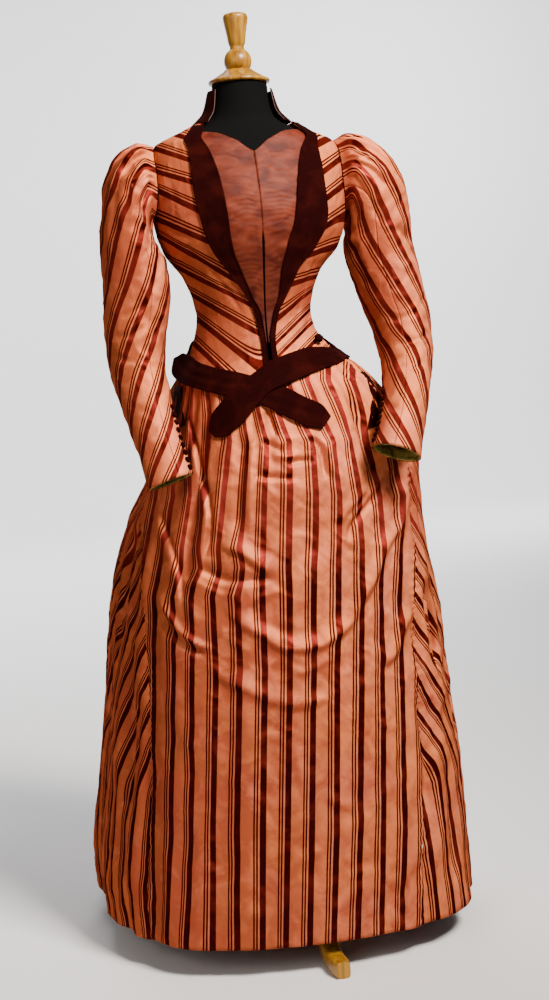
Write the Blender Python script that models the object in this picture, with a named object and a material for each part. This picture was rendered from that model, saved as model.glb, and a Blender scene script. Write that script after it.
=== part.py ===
"""Victorian visiting dress, late 1880s, worn on a limbless dress form with a wooden tripod.

Metres, +Z up, floor at z = 0, the dress faces -Y and its own left sleeve is at +X.
"left" and "right" in names are the viewer's, as the dress is seen from the front.
Every cloth piece is a wall of even thickness. The bodice and skirt pieces are cut from one
smooth body surface, told by an angle (0 at centre front, + towards +X) and a height.
"""
import math

import bmesh
import bpy
import numpy as np
from mathutils import Vector

for old in list(bpy.data.objects):
    bpy.data.objects.remove(old, do_unlink=True)

# Driving sizes, metres
CLOTH = 0.0016           # thickness of a silk or velvet wall
SEAM_GAP = 0.0004        # clear space between neighbouring pieces
FORM_AXIS = (-0.006, -0.073)   # where the form's axis stands, from the middle of the whole
HEM_Z = 0.047
WAIST_SEAM_Z = 1.000
COLLAR_LOW_Z = 1.3925
COLLAR_HEIGHT = 0.0575
ARMHOLE_Z = 1.291
ARMHOLE_HALF_HEIGHT = 0.066
ARMHOLE_FRONT_REACH = 19.0     # degrees round the body from the side to the armhole's edges
ARMHOLE_BACK_REACH = 30.0
FRONT_SEAM_ANGLE = 76.0
BACK_SEAM_ANGLE = 118.0
SEAM_MEETS_ARMHOLE_Z = 1.2445
SHOULDER_LIFT = 0.0009         # clear height of a sleeve or lapel over the bodice's cloth

# The body surface: half-widths to each side, depths before and behind the middle of the plan,
# how far back that middle lies, and the squareness of the plan
BODY_COLUMNS = ("z", "left", "right", "front", "back", "centre", "square")
BODY = [
    (0.047, 0.320, 0.332, 0.386, 0.370, 0.100, 2.7),
    (0.110, 0.324, 0.335, 0.381, 0.360, 0.100, 2.6),
    (0.250, 0.306, 0.334, 0.364, 0.340, 0.098, 2.5),
    (0.380, 0.290, 0.327, 0.347, 0.322, 0.095, 2.4),
    (0.520, 0.277, 0.321, 0.322, 0.305, 0.090, 2.3),
    (0.640, 0.254, 0.303, 0.297, 0.290, 0.085, 2.3),
    (0.700, 0.234, 0.298, 0.280, 0.280, 0.080, 2.3),
    (0.770, 0.199, 0.298, 0.260, 0.265, 0.070, 2.3),
    (0.850, 0.172, 0.270, 0.223, 0.245, 0.055, 2.3),
    (0.900, 0.158, 0.240, 0.192, 0.215, 0.040, 2.3),
    (0.930, 0.150, 0.215, 0.168, 0.185, 0.028, 2.3),
    (0.960, 0.136, 0.184, 0.138, 0.145, 0.015, 2.2),
    (0.985, 0.120, 0.147, 0.116, 0.112, 0.006, 2.2),
    (1.014, 0.109, 0.114, 0.104, 0.090, 0.000, 2.2),
    (1.036, 0.103, 0.104, 0.101, 0.081, 0.000, 2.2),
    (1.058, 0.100, 0.100, 0.100, 0.078, 0.000, 2.2),
    (1.084, 0.104, 0.104, 0.103, 0.080, 0.000, 2.2),
    (1.128, 0.120, 0.121, 0.110, 0.085, 0.000, 2.2),
    (1.171, 0.150, 0.157, 0.118, 0.094, 0.000, 2.2),
    (1.210, 0.163, 0.171, 0.121, 0.100, 0.000, 2.2),
    (1.250, 0.168, 0.175, 0.117, 0.102, 0.000, 2.2),
    (1.290, 0.169, 0.175, 0.105, 0.100, 0.000, 2.2),
    (1.330, 0.167, 0.172, 0.089, 0.094, 0.000, 2.2),
    (1.357, 0.158, 0.161, 0.079, 0.086, 0.000, 2.1),
    (1.375, 0.124, 0.124, 0.073, 0.078, 0.000, 2.0),
    (1.390, 0.093, 0.093, 0.066, 0.068, 0.000, 2.0),
    (1.400, 0.076, 0.076, 0.060, 0.062, 0.000, 2.0),
]

# The plastron: its notched top edge, how deep it lies and the placket's slit
PLASTRON_TOP_COLUMNS = ("angle", "z")
PLASTRON_TOP = [(0.0, 1.3345), (10.0, 1.3565), (30.0, 1.3720), (46.0, 1.3750)]
PLASTRON_SINK = 0.0008
SLIT_HALF_WIDTH = 0.0018
SLIT_CLOSED_HALF_WIDTH = 0.0004
SLIT_LOW_Z = 1.150
SLIT_HIGH_Z = 1.205
SLIT_RADIUS = 0.115

# The standing collar: half-sizes of its top edge, half its opening and how it leans in
COLLAR_TOP_HALF_WIDTH = 0.0570
COLLAR_TOP_HALF_DEPTH = 0.0560
COLLAR_OPEN_ANGLE = 50.0
COLLAR_CUT_BACK = 9.0
COLLAR_LEAN_COLUMNS = ("share", "lean")
COLLAR_LEAN = [(0.0, 0.0), (0.35, 0.62), (1.0, 1.0)]

# Heights of the cross rows shared by the bodice pieces and the form
BODICE_ROWS = [1.000, 1.014, 1.034, 1.058, 1.090, 1.125, 1.165, 1.205, 1.246, 1.268, 1.291,
               1.315, 1.340, 1.357, 1.375, 1.392]

# Height of the seam between bodice and skirt round the waist, under the sash
WAIST_LINE_COLUMNS = ("angle", "z")
WAIST_LINE = [(-180, 1.000), (-120, 0.992), (-84, 0.975), (-68, 0.965), (-40, 0.951),
              (-20, 0.940), (0, 0.945), (15, 0.962), (30, 0.975), (60, 0.982), (90, 0.992),
              (120, 0.998), (180, 1.000)]

# Angles of the lapels' edges, each side measured away from centre front
LAPEL_COLUMNS = ("z", "left_in", "left_out", "right_in", "right_out")
LAPELS = [
    (1.010, 0.9, 3.8, 0.9, 3.4),
    (1.034, 1.4, 4.8, 1.5, 5.0),
    (1.058, 3.4, 9.0, 6.5, 11.0),
    (1.083, 9.5, 14.5, 11.5, 18.5),
    (1.105, 13.0, 20.5, 13.0, 24.0),
    (1.135, 16.5, 28.0, 13.0, 29.0),
    (1.165, 18.0, 32.5, 13.5, 35.0),
    (1.215, 18.0, 35.5, 17.5, 42.0),
    (1.277, 19.5, 38.0, 21.0, 41.0),
    (1.333, 24.0, 38.5, 27.0, 41.0),
    (1.372, 38.0, 52.0, 44.0, 54.0),
    (1.389, 50.0, 66.0, 54.0, 68.0),
]

# Edges of the velvet bands across the front, with the height of the band over the cloth
BAND_COLUMNS = ("top_angle", "top_z", "low_angle", "low_z", "lift")
SASH_UNDER = [
    (-93.0, 0.9790, -93.5, 0.9770, 0.0210),
    (-86.0, 0.9930, -88.0, 0.9580, 0.0120),
    (-76.0, 0.9900, -77.0, 0.9480, 0.0030),
    (-60.0, 0.9790, -61.0, 0.9400, 0.0022),
    (-40.0, 0.9680, -43.0, 0.9300, 0.0020),
    (-20.0, 0.9570, -26.0, 0.9180, 0.0018),
    (-6.0, 0.9440, -13.0, 0.9070, 0.0018),
    (3.0, 0.9290, -3.6, 0.8960, 0.0018),
    (9.0, 0.9120, 2.7, 0.8770, 0.0018),
    (15.4, 0.8950, 8.3, 0.8600, 0.0018),
    (17.2, 0.8760, 12.3, 0.8570, 0.0018),
]
SASH_OVER = [
    (60.0, 0.9880, 59.0, 0.9710, 0.0022),
    (45.0, 0.9925, 43.0, 0.9640, 0.0022),
    (30.0, 0.9935, 27.0, 0.9560, 0.0034),
    (16.0, 0.9880, 13.0, 0.9440, 0.0048),
    (1.2, 0.9750, -1.2, 0.9250, 0.0054),
    (-10.4, 0.9560, -8.8, 0.9060, 0.0044),
    (-21.3, 0.9360, -15.5, 0.8830, 0.0044),
    (-30.2, 0.9140, -21.5, 0.8680, 0.0042),
    (-38.2, 0.8870, -28.0, 0.8550, 0.0020),
    (-39.2, 0.8650, -34.5, 0.8530, 0.0016),
]
BELT_BACK = [
    (62.0, 0.9890, 61.0, 0.9700, 0.0022),
    (90.0, 1.0120, 90.0, 0.9740, 0.0026),
    (130.0, 1.0240, 130.0, 0.9800, 0.0029),
    (180.0, 1.0280, 180.0, 0.9830, 0.0029),
    (230.0, 1.0240, 230.0, 0.9780, 0.0029),
    (265.0, 1.0060, 264.0, 0.9640, 0.0026),
]
HIP_TAB_LEFT = [
    (-86.0, 0.9440, -73.0, 0.9420, 0.0007),
    (-80.0, 0.9080, -66.0, 0.9060, 0.0007),
    (-74.0, 0.8660, -59.5, 0.8760, 0.0007),
]
HIP_TAB_RIGHT = [
    (66.0, 0.9460, 58.0, 0.9480, 0.0004),
    (56.5, 0.9160, 50.5, 0.9170, 0.0004),
    (44.0, 0.8760, 38.0, 0.8770, 0.0004),
    (38.5, 0.8520, 33.0, 0.8530, 0.0004),
]

# The knot where the sash's upper end starts
KNOT_ANGLE = 47.0
KNOT_Z = 1.0055
KNOT_LIFT = 0.0079
KNOT_RADIUS = 0.0085
KNOT_STRETCH = (1.25, 0.75, 0.9)

# Long folds of the skirt, troughs pushed into the body surface
FOLD_COLUMNS = ("top_angle", "low_angle", "half_width", "depth", "z_top", "z_low")
FOLDS = [
    (-43.0, -33.0, 3.5, 0.010, 0.900, 0.560),
    (-58.0, -50.0, 5.0, 0.009, 0.860, 0.047),
    (-70.0, -66.0, 4.5, 0.011, 0.820, 0.047),
    (-80.0, -78.0, 5.0, 0.026, 0.740, 0.470),
    (-93.0, -90.0, 6.0, 0.012, 0.880, 0.047),
    (-24.0, -24.0, 5.0, 0.005, 0.820, 0.047),
    (-9.0, -10.0, 5.0, 0.004, 0.780, 0.047),
    (12.0, 12.0, 5.0, 0.004, 0.800, 0.047),
    (27.0, 26.0, 5.0, 0.006, 0.860, 0.047),
    (40.0, 40.0, 4.5, 0.008, 0.880, 0.300),
    (51.5, 51.5, 3.5, 0.011, 0.800, 0.600),
    (52.0, 53.5, 4.0, 0.022, 0.600, 0.400),
    (64.0, 61.0, 5.5, 0.012, 0.880, 0.047),
    (78.0, 74.0, 6.0, 0.012, 0.900, 0.047),
    (94.0, 90.0, 6.0, 0.013, 0.900, 0.047),
    (112.0, 108.0, 7.0, 0.018, 0.920, 0.047),
    (132.0, 128.0, 7.5, 0.022, 0.920, 0.047),
    (151.0, 147.0, 7.5, 0.024, 0.920, 0.047),
    (171.0, 168.0, 7.5, 0.026, 0.920, 0.047),
    (190.0, 192.0, 7.5, 0.026, 0.920, 0.047),
    (210.0, 213.0, 7.5, 0.024, 0.920, 0.047),
    (229.0, 232.0, 7.5, 0.022, 0.920, 0.047),
    (249.0, 252.0, 7.0, 0.016, 0.920, 0.047),
]
SKIRT_ROWS = [0.047, 0.130, 0.260, 0.400, 0.530, 0.640, 0.730, 0.800, 0.855, 0.900, 0.936,
              0.968, 1.000]
GATHER_DEPTH_COLUMNS = ("z", "depth")
GATHER_DEPTH = [(0.700, 0.0), (0.800, 0.0020), (0.880, 0.0040), (0.930, 0.0050),
                (0.975, 0.0035), (1.000, 0.0)]
GATHER_ANGLE = 9.5
BACK_GATHER_ANGLE = 18.0

# Seams between the apron in front and the sides of the skirt, angles at each height
SKIRT_SEAM_COLUMNS = ("z", "front_left", "front_right")
SKIRT_SEAMS = [
    (0.047, -53.0, 24.0),
    (0.150, -53.2, 26.5),
    (0.240, -53.7, 29.6),
    (0.335, -55.0, 32.6),
    (0.430, -56.1, 35.2),
    (0.525, -58.5, 39.0),
    (0.600, -63.0, 45.0),
    (0.690, -74.0, 50.0),
    (0.780, -84.0, 50.5),
    (0.900, -87.0, 57.0),
    (1.000, -87.5, 60.0),
]
SIDE_SEAM_RIGHT = 97.0
SIDE_SEAM_LEFT = -98.0

# Sleeve rings: centre, tilt outward of the ring, tilt forward, half-sizes
SLEEVE_COLUMNS = ("x", "y", "z", "side_tilt", "front_tilt", "half_out", "half_depth")
SLEEVE_RIGHT = [
    (0.1600, 0.000, 1.2910, 0.0, 0.0, 0.0660, 0.054),
    (0.1780, 0.000, 1.2950, 5.3, 0.0, 0.0745, 0.060),
    (0.1980, 0.000, 1.2880, 17.2, 0.0, 0.0795, 0.066),
    (0.2180, 0.000, 1.2680, 32.3, 0.0, 0.0790, 0.069),
    (0.2300, 0.000, 1.2380, 46.8, 0.0, 0.0750, 0.069),
    (0.2330, -0.001, 1.2025, 64.9, 0.0, 0.0670, 0.067),
    (0.2350, -0.004, 1.1580, 80.0, 2.0, 0.0620, 0.065),
    (0.2430, -0.010, 1.1140, 78.0, 6.0, 0.0595, 0.063),
    (0.2520, -0.018, 1.0680, 79.0, 10.0, 0.0560, 0.060),
    (0.2600, -0.028, 1.0240, 84.0, 16.0, 0.0520, 0.057),
    (0.2600, -0.047, 0.9790, 92.0, 26.0, 0.0475, 0.053),
    (0.2440, -0.092, 0.9330, 99.0, 38.0, 0.0430, 0.044),
    (0.2220, -0.143, 0.8860, 105.0, 38.0, 0.0400, 0.036),
    (0.2020, -0.177, 0.8455, 109.0, 33.0, 0.0400, 0.030),
    (0.1850, -0.202, 0.8110, 110.0, 26.0, 0.0435, 0.026),
]
SLEEVE_LEFT = [
    (0.1600, 0.000, 1.2910, 0.0, 0.0, 0.0660, 0.054),
    (0.1750, 0.000, 1.2930, 5.3, 0.0, 0.0720, 0.060),
    (0.1890, 0.000, 1.2835, 14.5, 0.0, 0.0760, 0.066),
    (0.2020, 0.000, 1.2640, 26.4, 0.0, 0.0745, 0.069),
    (0.2080, -0.001, 1.2370, 39.5, 0.0, 0.0690, 0.069),
    (0.2080, -0.003, 1.2020, 59.0, 0.0, 0.0595, 0.067),
    (0.2060, -0.006, 1.1600, 82.0, 2.0, 0.0575, 0.065),
    (0.2035, -0.010, 1.1150, 86.0, 5.0, 0.0580, 0.062),
    (0.2090, -0.016, 1.0680, 82.0, 8.0, 0.0560, 0.059),
    (0.2140, -0.024, 1.0200, 86.0, 12.0, 0.0520, 0.056),
    (0.2140, -0.036, 0.9740, 90.0, 18.0, 0.0475, 0.051),
    (0.2080, -0.058, 0.9280, 98.0, 22.0, 0.0440, 0.045),
    (0.2010, -0.087, 0.8790, 104.0, 22.0, 0.0410, 0.038),
    (0.1930, -0.117, 0.8320, 105.0, 20.0, 0.0390, 0.032),
    (0.1865, -0.147, 0.7865, 106.0, 15.0, 0.0400, 0.029),
]
SLEEVE_STEPS = [0.0, 0.7, 1.5, 2.5, 3.6, 4.7, 6.0, 7.6, 9.2, 10.5, 11.7, 12.9, 14.0]
SLEEVE_SEAM_ANGLE = 108.0
SLEEVE_GATHERS = 5
SLEEVE_GATHER_SPAN = 160.0
SLEEVE_GATHER_COLUMNS = ("step", "depth")
SLEEVE_GATHER_DEPTH = [(0.0, 0.0), (1.0, 0.0035), (2.0, 0.0060), (3.0, 0.0050), (5.0, 0.0020),
                       (7.0, 0.0)]
FACING_DEPTH = 0.55
FACING_GAP = 0.0009
SLEEVE_RADIUS = 0.050
BUTTON_RADIUS = 0.0052
BUTTON_HEIGHT = 0.0042
BUTTON_COUNT = 9
BUTTON_FIRST_STEP = 11.72
BUTTON_SPACING = 0.26
BUTTON_ANGLE = {"left": 150.0, "right": 172.0}
BUTTON_LIFT = {"left": 0.0008, "right": 0.0009}

# Dress form and stand
FORM_TOP_Z = 1.462
FORM_BOTTOM_Z = 0.780
POLE_RADIUS = 0.0125
HUB_RADIUS = 0.038
HUB_Z = (0.215, 0.300)
LEG_REACH = 0.320
LEG_WIDTH = 0.030
LEG_DEPTH = 0.026
LEG_CORNER = 0.006
LEG_LEVEL_SHARE = 0.88         # where along a leg its toe starts to lie flat
LEG_TOE_WIDTH = 0.72           # width of the toe's end as a share of the leg's
LEG_SHARES = [0.0, 0.10, 0.22, 0.34, 0.46, 0.58, 0.70, 0.80, 0.88, 0.95, 1.0]
LEG_ANGLES = {"leg_front": -87.7, "leg_right": 30.0, "leg_left": 150.0}

# Rings of the form outside the bodice: height, half-width and half-depth
FORM_HIPS = [(FORM_BOTTOM_Z, 0.146, 0.112), (0.800, 0.152, 0.118), (0.860, 0.150, 0.118),
             (0.920, 0.130, 0.107), (0.970, 0.107, 0.094)]
FORM_NECK = [(1.388, 0.078, 0.060), (1.402, 0.060, 0.054), (1.430, 0.051, 0.050),
             (FORM_TOP_Z, 0.048, 0.048)]
FORM_CLEARANCE = 0.0022        # between the form and the bodice's inner face, more at the shoulder
FORM_SHOULDER_EXTRA = 0.0016
FORM_WAIST_Z = 1.058
FORM_WAIST_CLEARANCE = 0.0006
FORM_SEGMENT_ANGLE = 14.4

# Turned wood on the neck: radius and height above the form's top
CAP_GAP = 0.0004
NECK_CAP = [(0.0, 0.0), (0.050, 0.0), (0.054, 0.002), (0.054, 0.005), (0.050, 0.0075),
            (0.038, 0.0145), (0.028, 0.0205), (0.024, 0.0245), (0.0, 0.0245)]
BALL_RADIUS = 0.02425
BALL_CENTRE_Z = 1.502
BALL_END_ANGLE = 62.0
KNOB = [(0.0125, 1.5270), (0.0145, 1.5320), (0.0190, 1.5600), (0.0218, 1.5760),
        (0.0212, 1.5818), (0.0165, 1.5858), (0.0, 1.5870)]
HUB_CHAMFER = 0.006

# Colours (sRGB), roughness and metallic value of the pieces
FINISHES = {
    "striped_silk": ((0.80, 0.50, 0.36), 0.42, 0.0),
    "plastron_silk": ((0.62, 0.33, 0.22), 0.45, 0.0),
    "velvet": ((0.20, 0.04, 0.04), 0.80, 0.0),
    "cuff_silk": ((0.60, 0.56, 0.30), 0.50, 0.0),
    "form_jersey": ((0.02, 0.02, 0.025), 0.85, 0.0),
    "wood": ((0.84, 0.62, 0.30), 0.35, 0.0),
    "pole_metal": ((0.45, 0.45, 0.45), 0.35, 1.0),
}


def linear(channel):
    """One sRGB channel as linear light."""
    return channel / 12.92 if channel <= 0.04045 else ((channel + 0.055) / 1.055) ** 2.4


def finish(node_name, finish_name):
    """A Principled material of the piece's own, with the finish's values."""
    colour, roughness, metallic = FINISHES[finish_name]
    material = bpy.data.materials.new(node_name + "_" + finish_name)
    material.use_nodes = True
    shader = material.node_tree.nodes["Principled BSDF"]
    shader.inputs["Base Color"].default_value = [linear(c) for c in colour] + [1.0]
    shader.inputs["Roughness"].default_value = roughness
    shader.inputs["Metallic"].default_value = metallic
    return material


place = bpy.data.objects.new("form_axis_place", None)
place.location = (*FORM_AXIS, 0.0)
bpy.context.scene.collection.objects.link(place)


def add_object(name, mesh, finish_name, smooth=True):
    """Links the mesh as an object that stands on the form's axis."""
    thing = bpy.data.objects.new(name, mesh)
    mesh.materials.append(finish(name, finish_name))
    bpy.context.scene.collection.objects.link(thing)
    thing.parent = place
    if smooth:
        mesh.shade_smooth()
        mesh.set_sharp_from_angle(angle=math.radians(50.0))
    return thing


def smooth_curve(knots, values, at):
    """Curve through the knots made of cubics whose slopes never overshoot the values."""
    knots = np.asarray(knots, float)
    values = np.asarray(values, float)
    at = np.clip(np.asarray(at, float), knots[0], knots[-1])
    step = np.diff(knots)
    rise = np.diff(values) / step
    slope = np.zeros(len(knots))
    slope[0] = rise[0]
    slope[-1] = rise[-1]
    for k in range(1, len(knots) - 1):
        if rise[k - 1] * rise[k] > 0.0:
            before = 2.0 * step[k] + step[k - 1]
            after = step[k] + 2.0 * step[k - 1]
            slope[k] = (before + after) / (before / rise[k - 1] + after / rise[k])
    k = np.clip(np.searchsorted(knots, at) - 1, 0, len(step) - 1)
    s = (at - knots[k]) / step[k]
    start = (1 + 2 * s) * (1 - s) ** 2 * values[k] + s * (1 - s) ** 2 * step[k] * slope[k]
    end = s * s * (3 - 2 * s) * values[k + 1] + s * s * (s - 1) * step[k] * slope[k + 1]
    return start + end


def read(table, columns, key, name, at):
    """Value of a named column of a table, smooth between its rows."""
    rows = np.array(table, float)
    return smooth_curve(rows[:, columns.index(key)], rows[:, columns.index(name)], at)


def by_row(table, columns, name, at):
    """Value of a named column at a fractional row number."""
    rows = np.array(table, float)
    return smooth_curve(np.arange(len(rows)), rows[:, columns.index(name)], at)


def smooth_step(value, low, high):
    """Zero below low, one above high, an S-shaped rise between."""
    t = np.clip((value - low) / (high - low), 0.0, 1.0)
    return t * t * (3.0 - 2.0 * t)


def signed(angle):
    """An angle brought between -180 and 180 degrees."""
    return (np.asarray(angle, float) + 180.0) % 360.0 - 180.0


def body(angle, z):
    """Superellipse section at height z, taken at the angle in degrees."""
    angle = np.radians(angle)
    side, ahead = np.sin(angle), np.cos(angle)
    power = 2.0 / read(BODY, BODY_COLUMNS, "z", "square", z)
    half = np.where(side >= 0, read(BODY, BODY_COLUMNS, "z", "right", z),
                    read(BODY, BODY_COLUMNS, "z", "left", z))
    deep = np.where(ahead >= 0, read(BODY, BODY_COLUMNS, "z", "front", z),
                    read(BODY, BODY_COLUMNS, "z", "back", z))
    x = half * np.sign(side) * np.abs(side) ** power
    centre = read(BODY, BODY_COLUMNS, "z", "centre", z)
    y = centre - deep * np.sign(ahead) * np.abs(ahead) ** power
    return np.stack(np.broadcast_arrays(x, y, z), axis=-1)


def body_radius(z):
    """Mean of the half-width and the front depth, used to turn a gap into an angle."""
    half_width = read(BODY, BODY_COLUMNS, "z", "right", z)
    return 0.5 * (half_width + read(BODY, BODY_COLUMNS, "z", "front", z))


def gap_angle(z):
    """Half a seam gap as degrees at height z."""
    return np.degrees(0.5 * SEAM_GAP / body_radius(z))


def bodice(angle, z):
    """Body surface with the lowest rows bent down to the waist line."""
    drop = read(WAIST_LINE, WAIST_LINE_COLUMNS, "angle", "z", signed(angle)) - WAIST_SEAM_Z
    fade = 1.0 - smooth_step(z, WAIST_SEAM_Z, 1.070)
    return body(angle, z + drop * fade)


def gathers(angle, z):
    """Depth of the waist gathers: a wave round the waist, wider at the back, uneven in spacing."""
    angle = signed(angle)
    wander = 1.6 * np.sin(np.radians(angle) * 3.0) + 1.1 * np.sin(np.radians(angle) * 7.0 + 1.0)
    front_wave = 0.5 - 0.5 * np.cos(2.0 * math.pi * (angle + wander) / GATHER_ANGLE)
    back_wave = 0.5 - 0.5 * np.cos(2.0 * math.pi * (angle - 180.0) / BACK_GATHER_ANGLE)
    at_back = smooth_step(np.abs(angle), 92.0, 100.0)
    depth = read(GATHER_DEPTH, GATHER_DEPTH_COLUMNS, "z", "depth", z)
    return depth * (front_wave * (1.0 - at_back) + 1.8 * back_wave * at_back)


def long_folds(angle, z):
    """Sum of the troughs of the fold table, each a bell across and faded at its ends."""
    total = 0.0
    for top_angle, low_angle, half_width, depth, z_top, z_low in FOLDS:
        along = np.clip((z_top - z) / (z_top - HEM_Z), 0.0, 1.0)
        centre = top_angle + (low_angle - top_angle) * along
        across = signed(angle - centre) / half_width
        rise = smooth_step(z_top - z, 0.0, 0.120)
        if z_low > HEM_Z:
            rise = rise * smooth_step(z - z_low, 0.0, 0.090)
        total = total + depth * rise * np.exp(-across * across)
    return total


def skirt(angle, z):
    """Body surface with the top rows bent to the waist line, pushed in at gathers and folds."""
    drop = read(WAIST_LINE, WAIST_LINE_COLUMNS, "angle", "z", signed(angle)) - WAIST_SEAM_Z
    height = z + drop * smooth_step(z, 0.880, WAIST_SEAM_Z)
    point = body(angle, height)
    inward = np.zeros_like(point)
    inward[..., 0] = -point[..., 0]
    inward[..., 1] = read(BODY, BODY_COLUMNS, "z", "centre", height) - point[..., 1]
    inward /= np.linalg.norm(inward, axis=-1, keepdims=True)
    push = gathers(angle, z) + long_folds(angle, z)
    return point + inward * push[..., None]


def outward(surface, u, v, step_u, step_v):
    """Unit normals of surface(u, v) from the differences on both sides of each point."""
    along_u = surface(u + step_u, v) - surface(u - step_u, v)
    along_v = surface(u, v + step_v) - surface(u, v - step_v)
    normal = np.cross(along_u, along_v)
    return normal / np.linalg.norm(normal, axis=-1, keepdims=True)


def wall(name, outer, inner, finish_name, closed=False):
    """Closed mesh between two point grids; a closed grid joins its last column to its first."""
    rows, columns = outer.shape[:2]
    mesh = bpy.data.meshes.new(name)
    work = bmesh.new()
    skins = [[[work.verts.new(point) for point in line] for line in grid] for grid in (outer, inner)]
    last = columns if closed else columns - 1
    for skin in skins:
        for i in range(rows - 1):
            for j in range(last):
                k = (j + 1) % columns
                work.faces.new((skin[i][j], skin[i][k], skin[i + 1][k], skin[i + 1][j]))
    out, back = skins
    for i in (0, rows - 1):
        for j in range(last):
            k = (j + 1) % columns
            work.faces.new((out[i][j], out[i][k], back[i][k], back[i][j]))
    if not closed:
        for j in (0, columns - 1):
            for i in range(rows - 1):
                work.faces.new((out[i][j], out[i + 1][j], back[i + 1][j], back[i][j]))
    bmesh.ops.recalc_face_normals(work, faces=work.faces)
    work.to_mesh(mesh)
    work.free()
    return add_object(name, mesh, finish_name)


def body_wall(name, surface, angles, heights, finish_name, lift=0.0, thickness=CLOTH, closed=False):
    """Cloth on a body surface, its inner face the given lift out from that surface."""
    normal = outward(surface, angles, heights, 0.4, 0.0015)
    points = surface(angles, heights)
    top = np.asarray(lift + thickness)[..., None] if np.ndim(lift) else lift + thickness
    low = np.asarray(lift)[..., None] if np.ndim(lift) else lift
    return wall(name, points + normal * top, points + normal * low, finish_name, closed)


def lapel_edge(side, edge, z):
    """Angle of a lapel's edge away from centre front."""
    return read(LAPELS, LAPEL_COLUMNS, "z", side + "_" + edge, z)


def front_edge(side, z):
    """Where the bodice front ends and the plastron begins, hidden under the lapel."""
    middle = 0.5 * (lapel_edge(side, "in", z) + lapel_edge(side, "out", z))
    closed_below = smooth_step(z, 1.005, 1.025)
    return gap_angle(z) + (middle - gap_angle(z)) * closed_below


def armhole_reach(ahead):
    """Most degrees from the side to the armhole's edge: the front one where ahead is true."""
    return np.where(ahead, ARMHOLE_FRONT_REACH, ARMHOLE_BACK_REACH)


def armhole_angle(ahead, z):
    """Degrees from the side to the armhole's front or back edge at height z."""
    rise = np.clip((z - ARMHOLE_Z) / ARMHOLE_HALF_HEIGHT, -1.0, 1.0)
    return armhole_reach(ahead) * np.sqrt(1.0 - rise * rise)


def side_edge(seam_angle, z):
    """Outer limit of a front or back piece: the side seam, the armhole, then the shoulder seam."""
    turned = 1.0 if seam_angle < 90.0 else -1.0
    arm = 90.0 - turned * armhole_angle(seam_angle < 90.0, z)
    meet = seam_angle - turned * gap_angle(z)
    shoulder = 90.0 - turned * gap_angle(z)
    edge = np.where(z < ARMHOLE_Z, turned * np.minimum(turned * meet, turned * arm), arm)
    edge = np.where(z < SEAM_MEETS_ARMHOLE_Z, meet, edge)
    return turned * np.minimum(turned * edge, turned * shoulder)


def strip_grid(start, end, cells):
    """Angles from start to end of each row, as a grid."""
    share = np.linspace(0.0, 1.0, cells + 1)[None, :]
    return start[:, None] + (end - start)[:, None] * share


def build_bodice():
    """Front, side and back pieces for both sides of the bodice."""
    rows = np.array(BODICE_ROWS)
    for side, sign in (("left", -1.0), ("right", 1.0)):
        angles = strip_grid(front_edge(side, rows), side_edge(FRONT_SEAM_ANGLE, rows), 8)
        heights = np.broadcast_to(rows[:, None], angles.shape)
        body_wall("bodice_front_" + side, bodice, sign * angles, heights, "striped_silk", -CLOTH)
        angles = strip_grid(side_edge(BACK_SEAM_ANGLE, rows), 180.0 - gap_angle(rows), 8)
        body_wall("bodice_back_" + side, bodice, sign * angles, heights, "striped_silk", -CLOTH)
        build_bodice_side(side, sign)


def build_bodice_side(side, sign):
    """The piece under the arm, its top edge the low arc of the armhole."""
    low_rows = np.array([z for z in BODICE_ROWS if z <= 1.206])
    share = np.linspace(0.0, 1.0, 7)[None, :]
    gap = 2.0 * gap_angle(1.15)
    angle = (FRONT_SEAM_ANGLE + gap) + (BACK_SEAM_ANGLE - FRONT_SEAM_ANGLE - 2.0 * gap) * share
    arc = np.sqrt(1.0 - ((90.0 - angle) / armhole_reach(angle < 90.0)) ** 2)
    top = ARMHOLE_Z - ARMHOLE_HALF_HEIGHT * arc
    heights = np.vstack([np.broadcast_to(low_rows[:, None], (len(low_rows), angle.shape[1])), top])
    angles = np.broadcast_to(angle, heights.shape)
    body_wall("bodice_side_" + side, bodice, sign * angles, heights, "striped_silk", -CLOTH)


def plastron_top(angle):
    """Height of the plastron's notched top edge: lowest at centre front."""
    return read(PLASTRON_TOP, PLASTRON_TOP_COLUMNS, "angle", "z", np.abs(angle))


def build_plastron():
    """Two halves that meet at the centre above the placket's slit."""
    for side, sign in (("left", -1.0), ("right", 1.0)):
        rows = np.array([z for z in BODICE_ROWS if 1.03 <= z <= 1.376])
        share = np.linspace(0.0, 1.0, 6)
        columns = []
        for part in share:
            top = 1.360
            for _ in range(12):
                angle = part * (front_edge(side, top) - gap_angle(top))
                top = plastron_top(angle)
            raised = np.clip(rows - ARMHOLE_Z, 0.0, None) * (top - ARMHOLE_Z) / (rows[-1] - ARMHOLE_Z)
            columns.append(np.minimum(rows, ARMHOLE_Z) + raised)
        heights = np.array(columns).T
        open_share = 1.0 - smooth_step(heights, SLIT_LOW_Z, SLIT_HIGH_Z)
        slit = SLIT_CLOSED_HALF_WIDTH + (SLIT_HALF_WIDTH - SLIT_CLOSED_HALF_WIDTH) * open_share
        inner = np.degrees(slit / SLIT_RADIUS)
        outer = front_edge(side, heights) - 2.5 * gap_angle(heights)
        angles = inner + (outer - inner) * share[None, :]
        depth = -CLOTH - PLASTRON_SINK
        body_wall("plastron_" + side, bodice, sign * angles, heights, "plastron_silk", depth)


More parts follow.
